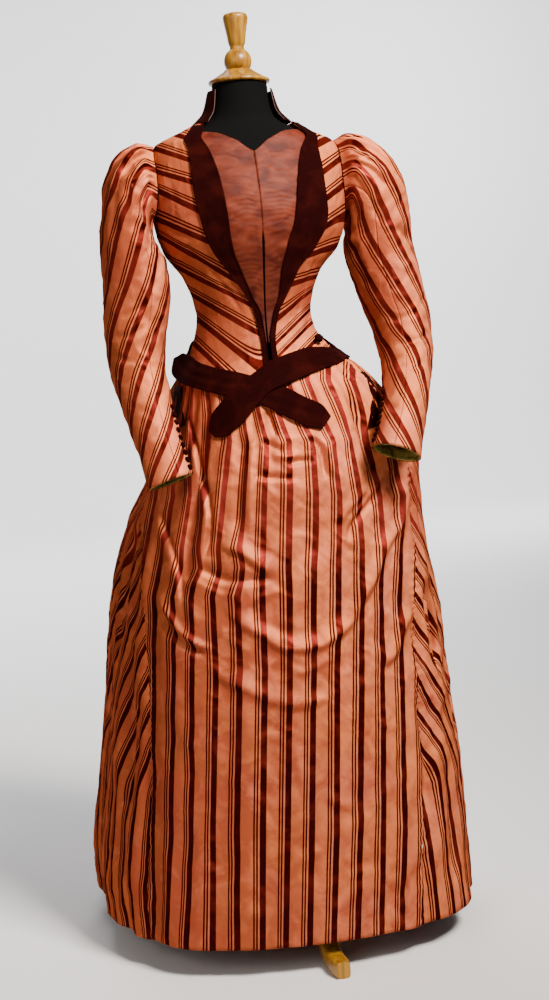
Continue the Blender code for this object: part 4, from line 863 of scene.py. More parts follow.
# Creases of the skirt: width above or right and below or left in the picture's pixels, height in
# mm, then the places
SKIRT_CREASES = [
    ("edge of the apron's fold", 3.0, 7.0, 4.2, (180, 398), (186, 425), (193, 452), (199, 476), (205, 502),
     (207, 520), (203, 548), (198, 566)),
    ("crevice beside that edge", 2.4, 2.2, -7.7, (184, 404), (190, 427), (197, 452), (203, 476), (209, 502),
     (211, 520), (207, 546), (202, 562)),
    ("outer hanging fold", 3.0, 5.5, 2.8, (154, 506), (161, 530), (170, 556), (177, 584), (178, 614)),
    ("crevice of the outer fold", 2.6, 2.2, -2.8, (159, 508), (166, 530), (175, 556), (182, 584), (183, 610)),
    ("pinched fold", 4.0, 2.6, 6.5, (157, 588), (164, 606), (173, 622), (184, 635), (197, 644), (214, 650)),
    ("under the pinched fold", 3.4, 4.5, -5.6, (154, 604), (165, 623), (178, 639), (194, 650), (214, 656)),
    ("deep gap at the left hip", 6.0, 5.0, -14.0, (139, 522), (132, 543), (125, 562), (122, 598), (117, 632),
     (110, 650)),
    ("swell beside the gap", 4.0, 5.0, 4.0, (134, 578), (129, 606), (132, 632), (138, 664)),
    ("bulge over the valley", 10.0, 3.0, 7.2, (216, 545), (233, 550), (247, 557), (259, 567), (276, 579)),
    ("valley of the kinks", 6.0, 4.0, -6.8, (194, 564), (212, 575), (232, 581), (256, 580), (278, 576)),
    ("shelf under the valley", 4.0, 9.0, 3.5, (188, 573), (206, 589), (226, 596), (248, 594)),
    ("upper swag", 10.0, 3.5, 7.2, (224, 606), (238, 621), (262, 636), (289, 650), (314, 648), (337, 636),
     (352, 620), (366, 598)),
    ("lower swag", 10.0, 4.0, 5.6, (203, 662), (220, 676), (240, 687), (263, 698), (290, 706), (318, 702),
     (342, 686)),
    ("left of the swags", 6.0, 6.0, 3.0, (190, 575), (187, 600), (194, 626)),
    ("ripple between the swags 1", 5.0, 3.0, 2.2, (244, 604), (262, 598), (284, 590)),
    ("ripple between the swags 2", 5.0, 3.0, 2.0, (292, 676), (316, 668), (334, 656)),
    ("ripple between the swags 3", 5.0, 3.0, 2.0, (214, 628), (232, 642), (254, 656)),
    ("hook at the right hip", 3.4, 2.4, -5.5, (379, 486), (371, 500), (364, 510), (356, 519), (350, 530),
     (349, 546)),
    ("lit cloth beside the hook", 3.0, 7.0, 3.5, (368, 484), (358, 499), (347, 511), (338, 526)),
    ("upper diagonal fold", 3.4, 8.0, 6.0, (406, 516), (394, 532), (384, 552), (374, 578), (362, 600),
     (346, 622)),
    ("lower diagonal fold", 3.4, 7.0, 5.9, (413, 606), (403, 628), (395, 652), (382, 668)),
    ("fall beside the right seam", 4.0, 5.0, 4.0, (398, 478), (405, 500), (400, 530), (396, 560), (398, 604)),
    ("deep gap at the right", 4.0, 4.0, -9.0, (427, 574), (430, 612), (433, 648), (441, 674)),
    ("slanting fold 1", 4.0, 5.0, 4.0, (424, 600), (427, 640), (436, 680), (446, 718)),
    ("slanting fold 2", 4.0, 5.0, 4.5, (421, 656), (428, 686), (438, 718), (444, 762)),
    ("slanting trough", 4.0, 4.0, -7.0, (446, 640), (452, 690), (460, 742)),
    ("placket slit", 2.2, 2.2, -7.0, (267, 408), (271, 422), (277, 438)),
    ("pinch under the slit 1", 2.5, 2.5, -4.8, (260, 439), (272, 446), (286, 452)),
    ("pinch under the slit 2", 2.5, 2.5, -4.8, (286, 465), (300, 461), (314, 460)),
    ("pinch under the slit 3", 3.5, 2.5, -4.8, (254, 475), (272, 478), (298, 479)),
    ("pinch under the slit 4", 4.0, 2.0, 3.0, (268, 454), (286, 458), (302, 454)),
    ("gather at the sash end 1", 3.0, 5.0, 5.0, (304, 428), (318, 436), (327, 446), (331, 462), (334, 486)),
    ("gather at the sash end 2", 2.6, 3.0, -7.2, (310, 436), (319, 445), (323, 458), (326, 482)),
    ("gather 1", 4.0, 5.0, -7.2, (245, 430), (241, 462), (239, 500), (236, 542)),
    ("gather 2", 4.0, 4.0, 3.5, (256, 426), (252, 460), (250, 500), (248, 538)),
    ("gather 3", 5.0, 5.0, 3.5, (222, 434), (220, 470), (216, 510), (212, 542)),
    ("gather 4", 5.0, 4.0, 3.5, (330, 396), (345, 430), (356, 470), (362, 498)),
    ("gather 5", 4.0, 4.0, -6.4, (342, 380), (358, 420), (370, 460), (378, 482)),
    ("gather 6", 5.0, 4.0, 3.5, (356, 370), (374, 412), (386, 450), (392, 478)),
    ("left drape 1", 4.5, 4.5, -7.0, (120, 640), (112, 680), (107, 730)),
    ("left drape 2", 5.0, 5.0, 4.0, (128, 668), (122, 720), (114, 780)),
    ("left drape 3", 4.5, 4.5, -7.0, (138, 690), (134, 750), (124, 820)),
    ("left drape 4", 5.0, 5.0, -5.6, (112, 770), (107, 830), (102, 890)),
    ("left drape 5", 5.0, 5.0, 4.0, (130, 800), (127, 860), (122, 925)),
    ("left drape 6", 5.0, 5.0, -5.6, (146, 740), (143, 820), (140, 900)),
    ("right drape 1", 4.5, 4.5, -7.0, (418, 690), (426, 750), (430, 820)),
    ("right drape 2", 5.0, 5.0, 4.0, (434, 740), (439, 800), (441, 870)),
    ("right drape 3", 4.5, 4.5, -7.0, (448, 750), (453, 820), (456, 890)),
    ("right drape 4", 5.0, 5.0, 4.0, (424, 800), (430, 860), (434, 925)),
    ("crumple 1", 4.0, 3.0, 2.2, (203, 866), (214, 872), (226, 873)),
    ("crumple 2", 4.0, 3.0, 2.2, (256, 744), (270, 738), (286, 737)),
    ("crumple 3", 5.0, 3.0, 2.2, (328, 798), (342, 806), (358, 806)),
    ("crumple 4", 5.0, 3.0, 2.2, (224, 778), (238, 786), (252, 786)),
    ("crumple 5", 4.0, 3.0, 2.0, (298, 862), (312, 855), (324, 850)),
    ("crumple 6", 4.0, 3.0, 2.2, (374, 718), (386, 727), (398, 728)),
    ("crumple 7", 4.0, 3.0, 2.2, (178, 738), (190, 746), (202, 748)),
    ("crumple 8", 4.0, 3.0, 2.0, (346, 880), (360, 872), (378, 874)),
    ("hem crease left", 3.5, 3.5, -3.0, (150, 878), (155, 905), (158, 932)),
    ("hem crease right", 3.5, 3.5, -2.5, (408, 878), (404, 902), (402, 927)),
]
UNDER_SASH_Z = (0.80, 0.86)    # outward pushes fade between these, so that none meets the sash
WAIST_FADE_Z = (0.968, 0.998)  # all pushes fade between these, towards the waist seam
PUSH_LIMITS = (-0.015, 0.008)
SKIRT_CRINKLES = ((0.110, 0.0012, 4), (0.045, 0.0004, 5))   # size, depth and seed
DRAPED_FROM_Z = 0.38           # the skirt hangs plain below this, so its rows lie further apart there
LOW_ROWS_SHARE = 0.21
# the satin's painted highlight by height: weak below the first of these, so the lower skirt's satin is
# painted dark, and strong above the second, so the upper skirt's is painted rosy
SATIN_SHADED_BELOW_Z = 0.60            # the satin stripes look dark below this and rosy above the next
SATIN_LIT_ABOVE_Z = 0.68
SKIRT_PAINTED_SHINE = (0.02, 0.44)     # the satin's shine low down, and what is added to it higher up
PUCKER_DEPTH = 0.0011
PUCKER_REACH = 0.009
PUCKER_LENGTH = 0.012


def pucker(points, heights):
    """Small waves beside both side seams: -depth * exp(-(distance / reach)^2) * (1 + sin)."""
    columns = np.linalg.norm(np.diff(points, axis=1), axis=-1)
    run = np.concatenate([np.zeros((len(points), 1)), np.cumsum(columns, axis=1)], axis=1)
    beside = np.minimum(run, run[:, -1:] - run)
    wave = 1.0 + np.sin(2.0 * math.pi * heights / PUCKER_LENGTH + 2.0 * np.sin(heights * 47.0))
    return -PUCKER_DEPTH * np.exp(-(beside / PUCKER_REACH) ** 2) * wave


def skirt_piece(name, start, end, cells, rows, stripes):
    """A skirt piece: the smooth surface, then creases, puckers and crinkles pushed along its normals."""
    low_rows = round(LOW_ROWS_SHARE * rows)
    z = np.concatenate([np.linspace(HEM_Z, DRAPED_FROM_Z, low_rows + 1)[:-1],
                        np.linspace(DRAPED_FROM_Z, WAIST_SEAM_Z - SEAM_GAP, rows - low_rows + 1)])
    gap = gap_angle(z)
    angles = strip_grid(start(z) + gap, end(z) - gap, cells)
    heights = np.broadcast_to(z[:, None], angles.shape)
    points = skirt(angles, heights)
    normal = grid_normals(points)
    push = crease_push(points, normal, SKIRT_CREASES) + pucker(points, heights)
    push += sum(crinkle(points, size, depth, seed) for size, depth, seed in SKIRT_CRINKLES)
    most = PUSH_LIMITS[1] * (1.0 - smooth_step(heights, *UNDER_SASH_Z))
    push = np.clip(push, PUSH_LIMITS[0], most) * (1.0 - smooth_step(heights, *WAIST_FADE_Z))
    creased = points + normal * push[..., None]
    # the satin's painted highlight, stronger on the upper skirt
    painted_shine = SKIRT_PAINTED_SHINE[0] + SKIRT_PAINTED_SHINE[1] * smooth_step(heights, SATIN_SHADED_BELOW_Z, SATIN_LIT_ABOVE_Z)
    sheet_piece(name, creased, points, striped_silk, "striped_silk", CLOTH,
                np.stack([stripes(points, angles, heights), heights], axis=-1), painted_shine)


print("skirt:", len(FOLDS) - 1, "long folds and", len(SKIRT_CREASES), "creases")

# %% Skirt pieces
STRIPE_LEAN = 0.62             # metres sideways for each metre up, on the side pieces
LEAN_FROM_Z = 0.26
LEAN_BEND = 0.04               # how softly the lean sets in


# Each stripe function takes a grid's points, angles and heights, and gives the stripe number
def apron_stripes(points, angles, heights):
    """The chart's stripe number, which depends on the place in the picture alone."""
    return charted(*picture(points))


def side_stripes(from_angle, outward_sign, at_seam):
    """Stripes that lean in as they rise: metres round plus lean * sqrt((z - from)^2 + bend^2)."""
    def number(points, angles, heights):
        arc = arc_from(angles, heights, from_angle) * outward_sign
        lean = STRIPE_LEAN * np.sqrt(np.clip(heights - LEAN_FROM_Z, 0.0, None) ** 2 + LEAN_BEND ** 2)
        return at_seam + outward_sign * (arc + lean) / REPEAT
    return number


def back_stripes(points, angles, heights):
    """Straight hanging stripes, counted in metres round from centre back."""
    return arc_from(angles, heights, 180.0) / REPEAT


def seam(name):
    """The angle of a seam of the skirt at height z."""
    return lambda z: read(SKIRT_SEAMS, "z", name, z)


def straight(angle):
    """A seam at the same angle at all heights."""
    return lambda z: np.full_like(z, angle)


skirt_piece("skirt_front", seam("front_left"), seam("front_right"), 204, 236, apron_stripes)
skirt_piece("skirt_side_right", seam("front_right"), straight(SIDE_SEAM_RIGHT), 104, 190,
            side_stripes(24.0, 1.0, 6.6))
skirt_piece("skirt_side_left", straight(SIDE_SEAM_LEFT), seam("front_left"), 84, 190,
            side_stripes(-53.0, -1.0, -7.2))
skirt_piece("skirt_back_right", straight(SIDE_SEAM_RIGHT), straight(180.0), 100, 90, back_stripes)
skirt_piece("skirt_back_left", straight(180.0), straight(360.0 + SIDE_SEAM_LEFT), 100, 90, back_stripes)

# %% [markdown]
# ## The bodice
#
# Four large pieces and two small ones under the arms, seamed over a boned lining in the real dress,
# so the silk lies tight. The fronts are cut on the slant and their stripes meet as chevrons towards
# the plastron. The same numbers as in the solids give the neck, the armholes and the edge under the
# lapels, and the stripe number comes from where each stripe crosses one line of the picture.

# %% Bodice edges
LAPELS = [
    ("z", "left_in", "left_out", "right_in", "right_out"),
    (1.010, 0.9, 3.8, 0.9, 3.4),
    (1.034, 1.4, 4.8, 1.5, 5.0),
    (1.058, 3.4, 9.0, 6.5, 11.0),
    (1.083, 9.5, 14.5, 11.5, 18.5),
    (1.105, 13.0, 20.5, 13.0, 24.0),
    (1.135, 16.5, 28.0, 13.0, 29.0),
    (1.165, 18.0, 32.5, 13.5, 35.0),
    (1.215, 18.0, 35.5, 17.5, 42.0),
    (1.277, 19.5, 38.0, 21.0, 41.0),
    (1.333, 24.0, 38.5, 27.0, 41.0),
    (1.372, 38.0, 52.0, 44.0, 54.0),
    (1.389, 50.0, 66.0, 54.0, 68.0),
]
LAPELS_PART_Z = (1.005, 1.025)    # the fronts meet below the first height


def turned_over(side, angles, heights):
    """Grids made for the right side; for the left the angle's sign and the columns' order change."""
    if side == "left":
        return -angles[:, ::-1], heights[:, ::-1]
    return angles, heights


def lapel_edge(side, edge, z):
    """Angle of a lapel's edge away from centre front."""
    return read(LAPELS, "z", side + "_" + edge, z)


def front_edge(side, z):
    """Where the bodice front ends and the plastron begins, hidden under the lapel."""
    middle = 0.5 * (lapel_edge(side, "in", z) + lapel_edge(side, "out", z))
    return gap_angle(z) + (middle - gap_angle(z)) * smooth_step(z, *LAPELS_PART_Z)


def armhole_reach(ahead):
    """Most degrees from the side to the armhole's edge: the front one where ahead is true."""
    return np.where(ahead, ARMHOLE_FRONT_REACH, ARMHOLE_BACK_REACH)


def side_edge(seam_angle, z):
    """Outer limit of a front or back piece: the side seam, the armhole, then the shoulder seam."""
    turned = 1.0 if seam_angle < 90.0 else -1.0
    rise = np.clip((z - ARMHOLE_Z) / ARMHOLE_HALF_HEIGHT, -1.0, 1.0)
    arm = 90.0 - turned * armhole_reach(seam_angle < 90.0) * np.sqrt(1.0 - rise * rise)
    meet = seam_angle - turned * gap_angle(z)
    shoulder = 90.0 - turned * gap_angle(z)
    edge = np.where(z < ARMHOLE_Z, turned * np.minimum(turned * meet, turned * arm), arm)
    edge = np.where(z < SEAM_MEETS_ARMHOLE_Z, meet, edge)
    return turned * np.minimum(turned * edge, turned * shoulder)


# Where wide stripes number 0, 1, 2 ... cross one upright line of the picture, and how steeply
BODICE_STRIPES = {
    "left": (190.0, (160, 181, 206, 234, 254, 274, 294, 313, 340),
             (0.33, 0.27, 0.50, 0.41, 0.60, 0.50, 0.57, 0.80, 0.95)),
    "right": (300.0, (153, 190, 219, 243, 258, 282, 300, 320, 334, 356),
              (-0.50, -0.78, -0.78, -0.63, -0.34, -0.26, -0.86, -1.0, -1.0, -1.0)),
}
BODICE_CREASES = [
    ("bust dart left", 2.4, 2.4, -1.8, (178, 242), (202, 262), (228, 292), (246, 320)),
    ("crumple at the dart 1", 2.4, 1.8, 1.2, (168, 236), (180, 243), (194, 246)),
    ("crumple at the dart 2", 2.4, 1.8, 1.2, (172, 248), (186, 256), (200, 260)),
    ("crumple at the dart 3", 2.0, 1.8, -1.4, (176, 258), (190, 268), (206, 274)),
    ("crumple at the dart 4", 2.4, 1.8, 1.2, (182, 268), (196, 278), (210, 288)),
    ("crumple at the dart 5", 1.8, 1.8, -1.4, (186, 240), (193, 256), (204, 266)),
    ("under the arm left", 3.0, 2.4, -1.4, (160, 224), (176, 234), (196, 240)),
    ("waist left", 3.0, 3.0, -1.0, (186, 300), (192, 325), (200, 350)),
    ("bust dart right", 2.4, 2.4, -1.6, (324, 246), (308, 280), (294, 330)),
    ("under the arm right 1", 3.0, 2.4, -1.4, (340, 228), (322, 244), (306, 250)),
    ("under the arm right 2", 3.0, 2.4, 1.0, (338, 240), (322, 256), (304, 262)),
    ("waist right 1", 3.0, 3.0, -1.0, (318, 296), (308, 320), (302, 345)),
    ("waist right 2", 3.0, 3.0, -1.0, (306, 276), (298, 300), (288, 330)),
    ("shoulder left", 3.0, 3.0, -0.8, (168, 172), (172, 190), (176, 206)),
]


def chevron(side, points):
    """Stripe number s with crossing(s) + slope(s) * (across - line) = down, found in eight rounds."""
    line, crossing, slope = BODICE_STRIPES[side]
    across, down = picture(points)
    count = np.arange(float(len(crossing)))
    number = np.interp(down, crossing, count)
    for _ in range(8):
        level = down - np.interp(number, count, slope) * (across - line)
        number = np.interp(level, crossing, count)
        number += np.minimum(level - crossing[0], 0.0) / (crossing[1] - crossing[0])
        number += np.maximum(level - crossing[-1], 0.0) / (crossing[-1] - crossing[-2])
    return number


print("bodice:", len(BODICE_CREASES), "creases, lapels", round(float(lapel_edge("left", "out", 1.25)), 1),
      "degrees round at chest height")

# %% Bodice pieces
# base of the satin's painted highlight on the bodice
BODICE_PAINTED_SHINE = 0.14
BODICE_CRINKLE = (0.035, 0.0003, 7)    # size, depth and seed
BODICE_SINK = 0.0005
BODICE_PUSH_LIMITS = (-0.0022, 0.0007)
NECK_EDGE_Z = 1.392
BACK_STRIPE_ANGLE = 16.0               # degrees from one wide stripe to the next on the backs


def bodice_piece(name, side, angles, heights):
    """A bodice piece: the body surface with shallow creases; upright stripes behind, chevrons elsewhere."""
    angles, heights = turned_over(side, angles, heights)
    smooth = bodice(angles, heights)
    normal = grid_normals(smooth)
    push = crease_push(smooth, normal, BODICE_CREASES) + crinkle(smooth, *BODICE_CRINKLE) - BODICE_SINK
    points = smooth + normal * np.clip(push, *BODICE_PUSH_LIMITS)[..., None]
    upright = signed(angles - 180.0) / BACK_STRIPE_ANGLE + 0.5
    number = upright if "back" in name else chevron(side, smooth)
    sheet_piece(name, points, smooth, striped_silk, "striped_silk", CLOTH,
                np.stack([number, heights], axis=-1), BODICE_PAINTED_SHINE)


bodice_rows = np.linspace(WAIST_SEAM_Z, NECK_EDGE_Z, 121)
for side in ("left", "right"):
    angles = strip_grid(front_edge(side, bodice_rows), side_edge(FRONT_SEAM_ANGLE, bodice_rows), 80)
    bodice_piece("bodice_front_" + side, side, angles, np.broadcast_to(bodice_rows[:, None], angles.shape))
    angles = strip_grid(side_edge(BACK_SEAM_ANGLE, bodice_rows), 180.0 - gap_angle(bodice_rows), 40)
    bodice_piece("bodice_back_" + side, side, angles, np.broadcast_to(bodice_rows[:, None], angles.shape))
    under_gap = 2.0 * gap_angle(1.15)
    under = np.linspace(FRONT_SEAM_ANGLE + under_gap, BACK_SEAM_ANGLE - under_gap, 41)[None, :]
    arc = np.sqrt(1.0 - ((90.0 - under) / armhole_reach(under < 90.0)) ** 2)
    top = ARMHOLE_Z - ARMHOLE_HALF_HEIGHT * arc
    heights = WAIST_SEAM_Z + (top - WAIST_SEAM_Z) * np.linspace(0.0, 1.0, 70)[:, None]
    bodice_piece("bodice_side_" + side, side, np.broadcast_to(under, heights.shape), heights)

# %% [markdown]
# ## Plastron, lapels and collar
#
# The rust silk vest is held at its edges only, so it falls into small crosswise creases; its two
# halves meet at a seam that opens into a placket slit. The velvet lapels are laid on top with
# rolled edges, and the stiffened velvet collar stands away from the neck and shows a brown binding
# on its rim.

# %% Plastron
PLASTRON_LOW_Z = 1.034
PLASTRON_TOP = [("angle", "z"), (0.0, 1.3345), (10.0, 1.3565), (30.0, 1.3720), (46.0, 1.3750)]
PLASTRON_SINK = 0.0008         # how far its smooth surface lies under the bodice's
PLASTRON_CLOTH = 0.0010
SLIT_Z = (1.175, 1.200)        # the slit is open below the first height and closed above the second
SLIT_HALF_WIDTHS = (0.0010, 0.0001)    # what the open slit adds, and the closed seam
SLIT_RADIUS = 0.115


def plastron_top(angle):
    """Height of the plastron's notched top edge: lowest at centre front."""
    return read(PLASTRON_TOP, "angle", "z", np.abs(angle))


def cross_creases(angles, heights):
    """Depth of the crosswise creases: the sharp side up, two sets of waves that wander sideways."""
    wander = 0.0042 * np.sin(np.radians(angles) * 6.0 + 40.0 * heights) + 0.003 * np.sin(angles * 0.33 + 1.0)
    fine = np.abs(np.sin((heights + wander) * math.pi / 0.0105 + 1.4 * np.sin(heights * 61.0)))
    broad = np.abs(np.sin((heights - 1.4 * wander) * math.pi / 0.031 + 0.7))
    return 0.0004 * fine ** 1.5 + 0.0008 * broad ** 2.0


for side in ("left", "right"):
    share = np.linspace(0.0, 1.0, 45)[None, :]
    # each column ends where the top edge crosses it, found from a first guess in twelve rounds
    top = np.full_like(share, 1.360)
    for _ in range(12):
        top = plastron_top(share * (front_edge(side, top) - gap_angle(top)))
    heights = PLASTRON_LOW_Z + (top - PLASTRON_LOW_Z) * np.linspace(0.0, 1.0, 180)[:, None]
    slit = SLIT_HALF_WIDTHS[1] + SLIT_HALF_WIDTHS[0] * (1.0 - smooth_step(heights, *SLIT_Z))
    inner_edge = np.degrees(slit / SLIT_RADIUS)
    angles = inner_edge + (front_edge(side, heights) - 2.5 * gap_angle(heights) - inner_edge) * share
    angles, heights = turned_over(side, angles, heights)
    smooth = bodice(angles, heights)
    normal = grid_normals(smooth)
    puckered = 0.4 + 0.6 * smooth_step(np.abs(angles), 0.5, 4.0)
    smooth = smooth - normal * PLASTRON_SINK
    points = smooth - normal * (cross_creases(angles, heights) * puckered)[..., None]
    sheet_piece("plastron_" + side, points, smooth, plastron_silk, "rust_silk", PLASTRON_CLOTH)

# %% Lapels and collar
LAPEL_Z = (1.014, 1.386)
COLLAR_LOW_Z = 1.3925
COLLAR_HEIGHT = 0.0575
COLLAR_TOP_HALF_WIDTH = 0.0570
COLLAR_TOP_HALF_DEPTH = 0.0560
COLLAR_OPEN_ANGLE = 50.0       # degrees from the front to the collar's end at the neckline
COLLAR_CUT_BACK = 9.0          # and how much further round its end lies at the top
COLLAR_LEAN = [("share", "lean"), (0.0, 0.0), (0.35, 0.62), (1.0, 1.0)]

for side in ("left", "right"):
    rows = np.linspace(*LAPEL_Z, 120)
    angles = strip_grid(lapel_edge(side, "in", rows), lapel_edge(side, "out", rows), 24)
    angles, heights = turned_over(side, angles, np.broadcast_to(rows[:, None], angles.shape))
    smooth = bodice(angles, heights)
    normal = grid_normals(smooth)
    share = np.linspace(0.0, 1.0, 25)
    share = share[::-1] if side == "left" else share
    # the inner edge rolls up by 1.6 mm and the outer one by 1.0 mm
    rolled = 0.0016 * np.exp(-(share / 0.10) ** 2) + 0.0010 * np.exp(-((1.0 - share) / 0.12) ** 2)
    lift = rolled[None, :] + crinkle(smooth, 0.05, 0.0004, 3)
    smooth = smooth + normal * (SHOULDER_LIFT + CLOTH)
    points = smooth + normal * lift[..., None]
    sheet_piece("lapel_" + side, points, smooth, velvet, "burgundy_velvet", CLOTH)


def collar_surface(angle, share):
    """Standing collar: from the neckline up and in to the top edge."""
    base = body(angle, np.full_like(share, COLLAR_LOW_Z))
    turned = np.radians(angle)
    height = COLLAR_LOW_Z + COLLAR_HEIGHT * share
    lean = read(COLLAR_LEAN, "share", "lean", share)
    top = np.stack([COLLAR_TOP_HALF_WIDTH * np.sin(turned), -COLLAR_TOP_HALF_DEPTH * np.cos(turned), height],
                   axis=-1) + FORM_AXIS
    base[..., 2] = height
    return base + (top - base) * lean[..., None]


# the wall's rim takes the second material: a narrow silk binding, a little paler than the velvet
binding, _, _ = new_material("brown_silk_binding", Roughness=0.5, Base_Color=linear_rgb("#3C140C"))
share = np.linspace(0.0, 1.0, 25)
end_angle = COLLAR_OPEN_ANGLE + COLLAR_CUT_BACK * share
angles = strip_grid(end_angle, 360.0 - end_angle, 140)
smooth = collar_surface(angles, np.broadcast_to(share[:, None], angles.shape))
collar = sheet_piece("collar", smooth, smooth, velvet, "burgundy_velvet", CLOTH)
collar.data.materials.append(binding)
collar.modifiers["cloth_thickness"].material_offset_rim = 1

# %% [markdown]
# ## Velvet sash
#
# A soft velvet belt goes round the waist; in front its ends cross and lie flat, cut slanting. The
# bands are surfaces between a top and a lower edge, each with two or three long soft folds, and
# every one keeps its lift over the silk from the solids so that nothing cuts through.

# %% Sash bands
BAND_COLUMNS = ("top_angle", "top_z", "low_angle", "low_z", "lift")
SASH_UNDER = [
    BAND_COLUMNS,
    (-93.0, 0.9790, -93.5, 0.9770, 0.0210),
    (-86.0, 0.9930, -88.0, 0.9580, 0.0120),
    (-76.0, 0.9900, -77.0, 0.9480, 0.0030),
    (-60.0, 0.9790, -61.0, 0.9400, 0.0022),
    (-40.0, 0.9680, -43.0, 0.9300, 0.0020),
    (-20.0, 0.9570, -26.0, 0.9180, 0.0018),
    (-6.0, 0.9440, -13.0, 0.9070, 0.0018),
    (3.0, 0.9290, -3.6, 0.8960, 0.0018),
    (9.0, 0.9120, 2.7, 0.8770, 0.0018),
    (15.4, 0.8950, 8.3, 0.8600, 0.0018),
    (17.2, 0.8760, 12.3, 0.8570, 0.0018),
]
SASH_OVER = [
    BAND_COLUMNS,
    (60.0, 0.9880, 59.0, 0.9710, 0.0022),
    (45.0, 0.9925, 43.0, 0.9640, 0.0022),
    (30.0, 0.9935, 27.0, 0.9560, 0.0034),
    (16.0, 0.9880, 13.0, 0.9440, 0.0048),
    (1.2, 0.9750, -1.2, 0.9250, 0.0054),
    (-10.4, 0.9560, -8.8, 0.9060, 0.0044),
    (-21.3, 0.9360, -15.5, 0.8830, 0.0044),
    (-30.2, 0.9140, -21.5, 0.8680, 0.0042),
    (-38.2, 0.8870, -28.0, 0.8550, 0.0020),
    (-39.2, 0.8650, -34.5, 0.8530, 0.0016),
]
BELT_BACK = [
    BAND_COLUMNS,
    (62.0, 0.9890, 61.0, 0.9700, 0.0022),
    (90.0, 1.0120, 90.0, 0.9740, 0.0026),
    (130.0, 1.0240, 130.0, 0.9800, 0.0029),
    (180.0, 1.0280, 180.0, 0.9830, 0.0029),
    (230.0, 1.0240, 230.0, 0.9780, 0.0029),
    (265.0, 1.0060, 264.0, 0.9640, 0.0026),
]
HIP_TAB_LEFT = [
    BAND_COLUMNS,
    (-86.0, 0.9440, -73.0, 0.9420, 0.0007),
    (-80.0, 0.9080, -66.0, 0.9060, 0.0007),
    (-74.0, 0.8660, -59.5, 0.8760, 0.0007),
]
HIP_TAB_RIGHT = [
    BAND_COLUMNS,
    (66.0, 0.9460, 58.0, 0.9480, 0.0004),
    (56.5, 0.9160, 50.5, 0.9170, 0.0004),
    (44.0, 0.8760, 38.0, 0.8770, 0.0004),
    (38.5, 0.8520, 33.0, 0.8530, 0.0004),
]


def band(name, table, stations, cells, fold_depth):
    """Velvet between two edges, with folds of fold_depth * sin^2 along it that fade at its ends and edges."""
    at = np.linspace(0.0, len(table) - 2.0, stations)[None, :]
    share = np.linspace(0.0, 1.0, cells + 1)[:, None]
    top_angle, top_z, low_angle, low_z, lift = (by_row(table, column, at) for column in table[0])
    angles = low_angle + (top_angle - low_angle) * share
    heights = low_z + (top_z - low_z) * share
    lifts = np.broadcast_to(lift, angles.shape)
    if float(top_angle[0, -1]) < float(top_angle[0, 0]):
        angles, heights, lifts = angles[:, ::-1], heights[:, ::-1], lifts[:, ::-1]
    smooth = body(angles, heights)
    normal = grid_normals(smooth)
    smooth = smooth + normal * (lifts + CLOTH)[..., None]
    along = np.linspace(0.0, 1.0, stations)[None, :]
    folds = np.sin(math.pi * (2.6 * share + 0.5 * np.sin(5.0 * along) + 0.3)) ** 2
    ends = np.sin(math.pi * np.clip(along, 0.02, 0.98)) ** 0.5
    points = smooth + normal * (fold_depth * folds * ends * np.sin(math.pi * share) ** 0.5)[..., None]
    sheet_piece(name, points, smooth, velvet, "burgundy_velvet", CLOTH)


band("sash_under", SASH_UNDER, 150, 24, 0.0012)
band("sash_over", SASH_OVER, 150, 24, 0.0022)
band("belt_back", BELT_BACK, 160, 14, 0.0015)
band("hip_tab_left", HIP_TAB_LEFT, 30, 16, 0.0006)
band("hip_tab_right", HIP_TAB_RIGHT, 30, 12, 0.0004)

# %% Knot of the sash
KNOT_ANGLE = 47.0
KNOT_Z = 1.0055
KNOT_LIFT = 0.0079
KNOT_RADII = (0.0106, 0.0064, 0.0077)
KNOT_DENT = 0.10


def ball_points(radii, rows, columns, dent):
    """Points of an ellipsoid whose radius is 1 - dent * sin^2 of three grooves round it."""
    polar = np.linspace(0.0, math.pi, rows)[::-1, None]
    turn = np.linspace(0.0, 2.0 * math.pi, columns, endpoint=False)[None, :]
    radius = 1.0 - dent * np.sin(3.0 * polar + 0.8 * np.sin(2.0 * turn)) ** 2
    unit = np.stack([np.sin(polar) * np.cos(turn), np.sin(polar) * np.sin(turn), np.cos(polar) + 0.0 * turn],
                    axis=-1)
    return unit * np.array(radii) * radius[..., None]


def frame_on(surface, angle, step, step_u, step_v):
    """Point, outward normal and two directions along a surface at one place."""
    angle, step = np.array([float(angle)]), np.array([float(step)])
    where = surface(angle, step)[0]
    normal = outward(surface, angle, step, step_u, step_v)[0]
    along = surface(angle, step + step_v)[0] - surface(angle, step - step_v)[0]
    along = along / np.linalg.norm(along)
    return where, normal, np.cross(along, normal), along


where, normal, side_way, up_way = frame_on(body, KNOT_ANGLE, KNOT_Z, *BODY_STEPS)
turned = math.radians(KNOT_ANGLE)
axes = np.array([[math.cos(turned), math.sin(turned), 0.0], [-math.sin(turned), math.cos(turned), 0.0],
                 [0.0, 0.0, 1.0]])
knot_points = ball_points(KNOT_RADII, 25, 40, KNOT_DENT) @ axes + where + normal * KNOT_LIFT
add_piece("sash_knot_velvet", grid_mesh("sash_knot_velvet", knot_points, closed=True), velvet, "sash_knot")
print("knot at", np.round(knot_points.mean(axis=(0, 1)), 3))

# %% [markdown]
# ## Sleeves
#
# Leg-of-mutton sleeves: full at the head, where they are gathered into the armhole, and tight from
# the elbow down. Each ring has its own centre, tilt and two half-widths. The top and under pieces
# meet in seams at the back and the inside of the arm.

